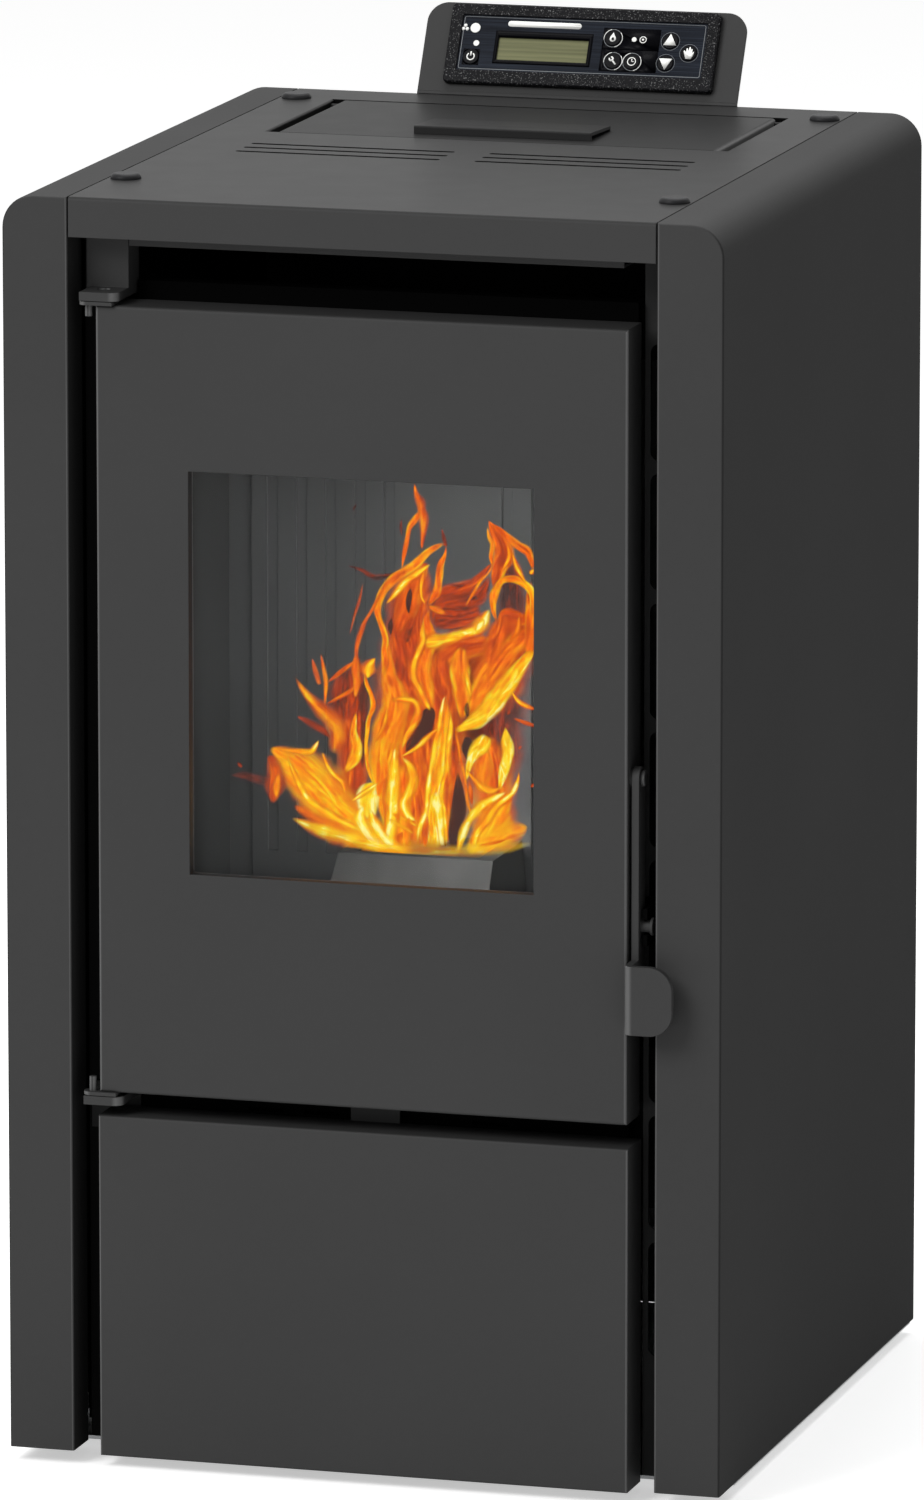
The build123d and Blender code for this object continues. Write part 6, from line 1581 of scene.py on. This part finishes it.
# ---------------------------------------------------------------- keypad
@dataclass
class KeypadPrint:
    """Printing, key symbols and display frame of the keypad; lengths in mm on its face."""

    finishes: dict[str, Material]
    tilt_deg: float = 29.0
    foot_y: float = 427.2
    foot_z: float = 700.0
    face: float = 3.2
    key_top: float = 3.9
    ink: float = 0.07
    thin_ring: Flat = (5.55, 5.35)
    broken_ring: Flat = (5.6, 5.25)
    full_ring: Flat = (5.5, 5.15)
    border_outer: Span = (-71.5, 71.5, 15.3, 47.3)
    border_inner: Span = (-71.15, 71.15, 15.65, 47.0)
    display: Span = (-49.6, 3.6, 21.5, 35.2)
    display_mask: Span = (-51.8, 6.0, 19.1, 39.3)
    power_field: float = 4.9
    label: Span = (-45.4, -1.8, 41.9, 45.4)
    key_field: Span = (11.6, 45.4, 17.2, 43.6)
    field_split: float = 30.35
    key_hole: float = 4.75
    keys: tuple[tuple[str, float, float], ...] = (
        ("power", -64.7, 22.6), ("flame", 17.7, 37.3), ("wrench", 19.4, 23.4), ("clock", 30.6, 23.4),
        ("up", 51.6, 36.8), ("down", 50.4, 23.4), ("hand", 63.4, 30.0))
    sunk: float = 0.05
    fan: Flat = (-70.4, 40.2)
    fan_reach: float = 1.35
    fan_blade: float = 1.05
    lamp: Flat = (35.4, 37.1)
    lamp_ring: Flat = (2.1, 1.6)
    lamp_dot: float = 0.7

    def place(self, x: float = 0.0, v: float = 0.0) -> Matrix:
        """Frame of the keypad's face at a point on it.

        Args:
            x: place across the face.
            v: place up the face.

        Returns:
            The frame: X across, Y up the face, Z out of it.
        """
        tilt = math.radians(self.tilt_deg)
        across = Vector((1.0, 0.0, 0.0))
        up = Vector((0.0, math.sin(tilt), math.cos(tilt)))
        out = Vector((0.0, -math.cos(tilt), math.sin(tilt)))
        turn = Matrix((across, up, out)).transposed().to_4x4()
        return Matrix.Translation(stove(x, self.foot_y, self.foot_z) + up * v * MM) @ turn

    def build(self) -> None:
        """Prints the face, then marks each key."""
        self.print_face()
        self.frame_display()
        for key, x, v in self.keys:
            self.mark_key(key, x, v)

    def print_face(self) -> None:
        """Border line, blank label, key rings and the small marks."""
        inks = [self.finishes[name] for name in ("white_ink", "grey_ink", "dark_ink")]
        piece = Piece("keypad_print", "cabinet", inks)
        flat, low, high = self.place(), self.face - self.sunk, self.face + self.ink
        piece.prism(block(*self.label, 1.75), flat, low, high)
        piece.finish = 2
        self.print_field(piece, flat, low)
        piece.finish = 1
        piece.frame(block(*self.border_outer, 1.2), block(*self.border_inner, 0.9), flat, low, high - 0.03)
        for key, x, v in self.keys:
            if key in ("up", "down", "hand"):
                piece.circle((x, v), *self.thin_ring, flat, low, high - 0.02)
            elif key != "power":
                piece.finish = 0
                for start, end in ((-75, 40), (105, 190)):
                    outer, inner = (arc(radius, (x, v), start, end, 20) for radius in self.broken_ring)
                    piece.prism(outer + inner[::-1], flat, low, high)
                piece.finish = 1
                piece.circle((x, v), *self.full_ring, flat, low, high - 0.02)
        piece.finish = 0
        for centre in arc(self.fan_reach, self.fan, 90, 450, 3):
            piece.prism(arc(self.fan_blade, centre, sides=16), flat, low, high)
        piece.circle(self.lamp, *self.lamp_ring, flat, low, high)
        piece.prism(arc(self.lamp_dot, self.lamp, sides=14), flat, low, high)
        piece.done()

    def print_field(self, piece: Piece, flat: Matrix, low: float) -> None:
        """Dark fields round keys: each is made in pieces that meet at its keys' middles.

        Args:
            piece: the piece that it joins.
            flat: frame of the keypad's face.
            low: height of its underside.
        """
        places = {key: (x, v) for key, x, v in self.keys}
        left, right, bottom, top = self.key_field
        x, v = places["power"]
        half = self.power_field
        for names, first, last, floor, roof in (
                (("wrench", "clock"), left, right, bottom, self.field_split),
                (("flame",), left, right, self.field_split, top),
                (("power",), x - half, x + half, v - half, v + half)):
            holes = [places[name] for name in names]
            edges = [first] + [x for x, _ in holes] + [last]
            for i, (start, end) in enumerate(zip(edges, edges[1:])):
                outline = [(start, floor), (end, floor)]
                if i < len(holes):
                    outline += arc(self.key_hole, holes[i], 270, 90, 15)
                outline += [(end, roof), (start, roof)]
                if i > 0:
                    outline += arc(self.key_hole, holes[i - 1], 90, -90, 15)
                piece.prism(outline, flat, low, self.face + 0.03)

    def frame_display(self) -> None:
        """Black border printed round the display's visible part."""
        piece = Piece("display_border", "cabinet", [self.finishes["dark_ink"]])
        piece.frame(block(*self.display_mask, 0.5), block(*self.display, 0.3), self.place(),
                    self.face - 0.3, self.face + self.ink)
        piece.done()

    def mark_key(self, key: str, x: float, v: float) -> None:
        """Raised symbol on one key.

        Args:
            key: which key.
            x: its centre across the face.
            v: its centre up the face.
        """
        inks = [self.finishes["white_ink"], self.finishes["dark_ink"]]
        piece = Piece(f"symbol_{key}", f"key_{key}_cap", inks)
        top, low, high = self.place(x, v), self.key_top - self.sunk, self.key_top + self.ink
        if key == "power":
            outer, inner = (arc(radius, start=-235, end=55, sides=24) for radius in (2.5, 1.75))
            piece.prism(outer + inner[::-1], top, low, high)
            piece.prism(block(-0.38, 0.38, 0.4, 3.1), top, low, high)
        elif key == "flame":
            drop = [(0.0, 3.3), (-0.7, 2.0), (-1.6, 0.6), (-1.9, -0.7), (-1.4, -1.9), (0.0, -2.5),
                    (1.4, -1.9), (1.9, -0.7), (1.6, 0.6), (0.9, 1.5)]
            piece.prism(drop, top, low, high)
            piece.finish = 1
            piece.prism([(x2 * 0.42, y2 * 0.42 - 0.5) for x2, y2 in drop], top, low, high + 0.03)
        elif key == "wrench":
            slant = top @ Matrix.Rotation(math.radians(40), 4, "Z")
            piece.prism(block(-0.45, 0.45, -2.9, 0.7, 0.3), slant, low, high)
            piece.prism(arc(1.5, (0.0, 1.5), 120, 420, 20) + arc(0.62, (0.0, 1.7), 120, 420, 20)[::-1],
                        slant, low, high + 0.01)
        elif key == "clock":
            piece.circle((0.0, 0.0), 2.6, 2.1, top, low, high)
            piece.prism(block(-0.22, 0.22, -0.2, 1.6), top, low, high)
            piece.prism(block(-0.2, 1.3, -0.22, 0.22), top, low, high)
        elif key in ("up", "down"):
            sign = 1 if key == "up" else -1
            outline = [(0.0, 4.3 * sign), (-3.8 * sign, -2.6 * sign), (3.8 * sign, -2.6 * sign)]
            piece.prism(outline, top, low, high)
        else:
            hand = [(-1.5, -3.6), (1.6, -3.6), (2.6, -1.6), (3.2, 0.6), (2.6, 0.9), (1.9, -0.2), (2.1, 2.2),
                    (1.5, 2.6), (1.0, 0.9), (0.9, 3.4), (0.2, 3.7), (-0.2, 1.0), (-0.9, 2.8), (-1.5, 2.7),
                    (-1.4, 0.3), (-2.6, 1.5), (-3.1, 1.0), (-2.3, -1.4)]
            piece.prism(hand, top, low, high)
        piece.done()


# ---------------------------------------------------------------- seals
@dataclass
class Seals:
    """Braided rope round the door's inner plate and woven tape behind the glass; lengths in mm."""

    yarn: Material
    rope_half_width: float = 136.5
    rope_low: float = 220.5
    rope_high: float = 619.5
    rope_y: float = 29.0
    rope_radius: float = 2.85
    rope_corner: float = 14.0
    rope_step: float = 1.9
    strands: int = 6
    strand_sides: int = 6
    strand_radius: float = 0.95
    strand_ripple: float = 0.12
    lay: float = 17.0
    tape_outer: Span = (-105.4, 105.4, 321.2, 560.1)
    tape_width: float = 7.6
    tape_front: float = 6.05
    tape_back: float = 8.95
    tape_corner: float = 2.0
    rib: float = 1.5
    weave: float = 0.22

    def build(self) -> None:
        """Makes both seals."""
        self.rope()
        self.tape()

    def loop(self, span: Span, corner: float, step: float) -> list[Vector]:
        """Even places round a rounded rectangle in the XZ plane.

        Args:
            span: its left, right, low and high edge.
            corner: radius of its corners.
            step: from one place to the next.

        Returns:
            The places.
        """
        corners = [Vector(point) for point in block(*span, corner)]
        places, spare = [], 0.0
        for here, there in zip(corners, corners[1:] + corners[:1]):
            length = (there - here).length
            while spare < length:
                places.append(here.lerp(there, spare / length))
                spare += step
            spare -= length
        return places

    def rope(self) -> None:
        """Strands that wind round the rope's line, half of them each way."""
        w = self.rope_half_width
        line = self.loop((-w, w, self.rope_low, self.rope_high), self.rope_corner, self.rope_step)
        count = len(line)
        turns = round(count * self.rope_step / self.lay)
        piece = Piece("door_rope", "door", [self.yarn])
        reach = self.rope_radius - self.strand_radius
        for strand in range(self.strands):
            way = 1 if strand % 2 else -1
            rings = []
            for i, spot in enumerate(line):
                ahead = line[(i + 1) % count] - line[i - 1]
                side = Vector((-ahead.y, ahead.x)).normalized()
                turn = way * math.tau * turns * i / count + math.tau * strand / self.strands
                lift = reach + self.strand_ripple * math.cos(3 * turn)
                middle = Vector((spot.x + side.x * lift * math.cos(turn),
                                 spot.y + side.y * lift * math.cos(turn)))
                depth = self.rope_y + lift * math.sin(turn)
                ring = []
                for x, y in arc(self.strand_radius, sides=self.strand_sides):
                    ring.append(stove(middle.x + side.x * x, depth + y, middle.y + side.y * x))
                rings.append(ring)
            piece.loft(rings, closed=True)
        rope = piece.done()
        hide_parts("door_gasket")

    def tape(self) -> None:
        """A flat ribbed band, mitred at its corners."""
        left, right, low, high = self.tape_outer
        piece = Piece("window_tape", "door", [self.yarn])
        outer = self.loop(self.tape_outer, self.tape_corner, self.rib / 2)
        middle = Vector(((left + right) / 2, (low + high) / 2))
        half = Vector(((right - left) / 2, (high - low) / 2))
        depth, reach = (self.tape_front + self.tape_back) / 2, (self.tape_back - self.tape_front) / 2
        rings = []
        for i, spot in enumerate(outer):
            inner = middle + Vector(((spot.x - middle.x) * (half.x - self.tape_width) / half.x,
                                     (spot.y - middle.y) * (half.y - self.tape_width) / half.y))
            swell = self.weave * (i % 2)
            ring = []
            for share, front in ((0.0, 0), (0.05, 1), (0.35, 1), (0.5, 1), (0.65, 1), (0.95, 1), (1.0, 0),
                                 (0.95, -1), (0.5, -1), (0.05, -1)):
                weave = swell if (round(share * 20) + i) % 2 else self.weave - swell
                place = spot.lerp(inner, share)
                ring.append(stove(place.x, depth - front * (reach - weave), place.y))
            rings.append(ring)
        piece.loft(rings, closed=True)
        tape = piece.done()
        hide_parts("window_gasket")


# ---------------------------------------------------------------- studio
@dataclass
class Studio:
    """Pale floor, white surroundings, soft lamps and the camera."""

    camera_place: Point = (1.9634, -6.75505, 1.7574)
    camera_down_deg: float = 11.175
    camera_turn_deg: float = 16.290
    camera_lens_mm: float = 307.1
    sensor_mm: float = 36.0
    sight_end: float = 400.0
    floor_radius: float = 90.0
    floor_sides: int = 96
    floor_colour: float = 0.8
    floor_lift: float = 0.5
    floor_lift_passed: float = 0.2
    ambient: float = 0.5

    def build(self) -> None:
        """Sets up everything round the stove."""
        self.camera()
        self.floor()
        self.surroundings()
        self.lamps()
        bpy.context.scene.view_settings.view_transform = "Standard"

    def camera(self) -> None:
        """The photograph's viewpoint."""
        lens = bpy.data.cameras.new("camera")
        lens.lens = self.camera_lens_mm
        lens.sensor_width = self.sensor_mm
        lens.clip_end = self.sight_end
        camera = bpy.data.objects.new("camera", lens)
        camera.location = self.camera_place
        tilt, turn = math.radians(90.0 - self.camera_down_deg), math.radians(self.camera_turn_deg)
        camera.rotation_euler = (tilt, 0.0, turn)
        bpy.context.scene.collection.objects.link(camera)
        bpy.context.scene.camera = camera

    def floor(self) -> None:
        """A wide pale floor that keeps the stove's shadow."""
        mesh = bpy.data.meshes.new("floor")
        shape = bmesh.new()
        bmesh.ops.create_circle(shape, cap_ends=True, radius=self.floor_radius, segments=self.floor_sides)
        shape.to_mesh(mesh)
        shape.free()
        floor = bpy.data.objects.new("floor", mesh)
        bpy.context.scene.collection.objects.link(floor)
        tree = FinishTree("pale_floor")
        paint = tree.add("ShaderNodeBsdfDiffuse", {"Color": grey(self.floor_colour)})
        path = tree.add("ShaderNodeLightPath").outputs
        passed = tree.math("MAXIMUM", path["Is Glossy Ray"], path["Is Transmission Ray"])
        level = tree.math("ADD", tree.math("MULTIPLY", path["Is Camera Ray"], self.floor_lift),
                         tree.math("MULTIPLY", passed, self.floor_lift_passed))
        lift = tree.add("ShaderNodeEmission", {"Strength": level})
        both = tree.add("ShaderNodeAddShader", {0: paint.outputs[0], 1: lift.outputs[0]})
        mesh.materials.append(tree.done(both.outputs[0]))

    def surroundings(self) -> None:
        """White to the eye, softer as a light."""
        world = bpy.data.worlds.new("surroundings")
        bpy.context.scene.world = world
        world.use_nodes = True
        tree = NodeTree(world.node_tree)
        path = tree.add("ShaderNodeLightPath").outputs
        straight = tree.math("MAXIMUM", path["Is Camera Ray"], path["Is Glossy Ray"])
        seen = tree.math("MAXIMUM", straight, path["Is Transmission Ray"])
        level = tree.remap(seen, 0.0, 1.0, self.ambient, 1.0)
        sky = tree.add("ShaderNodeBackground", {"Color": grey(1.0), "Strength": level})
        tree.add("ShaderNodeOutputWorld", {"Surface": sky.outputs[0]})

    def lamps(self) -> None:
        """Large soft lamps: (name, place, target, size, power)."""
        for name, place, target, size, watts in (
            ("key", (-2.2, -3.2, 3.4), (0.0, 0.0, 0.4), 2.4, 150.0),
            ("overhead", (0.0, 0.6, 3.4), (0.0, 0.0, 0.7), 2.6, 75.0),
        ):
            data = bpy.data.lights.new(name, "AREA")
            data.shape = "SQUARE"
            data.size = size
            data.energy = watts
            lamp = bpy.data.objects.new(name, data)
            lamp.location = place
            lamp.rotation_euler = (Vector(target) - Vector(place)).to_track_quat("-Z", "Y").to_euler()
            lamp.visible_camera = False
            bpy.context.scene.collection.objects.link(lamp)


def main() -> None:
    """Builds the looks in order."""
    logging.basicConfig(level=logging.INFO, format="%(name)s: %(message)s")
    Studio().build()
    finishes = Finishes()
    LOG.info("%d finishes", len(finishes.of))
    Fire(finishes.of["flame"], finishes.of["embers"]).build()
    KeypadPrint(finishes.of).build()
    Seals(finishes.of["seal"]).build()


if __name__ == "__main__":
    main()
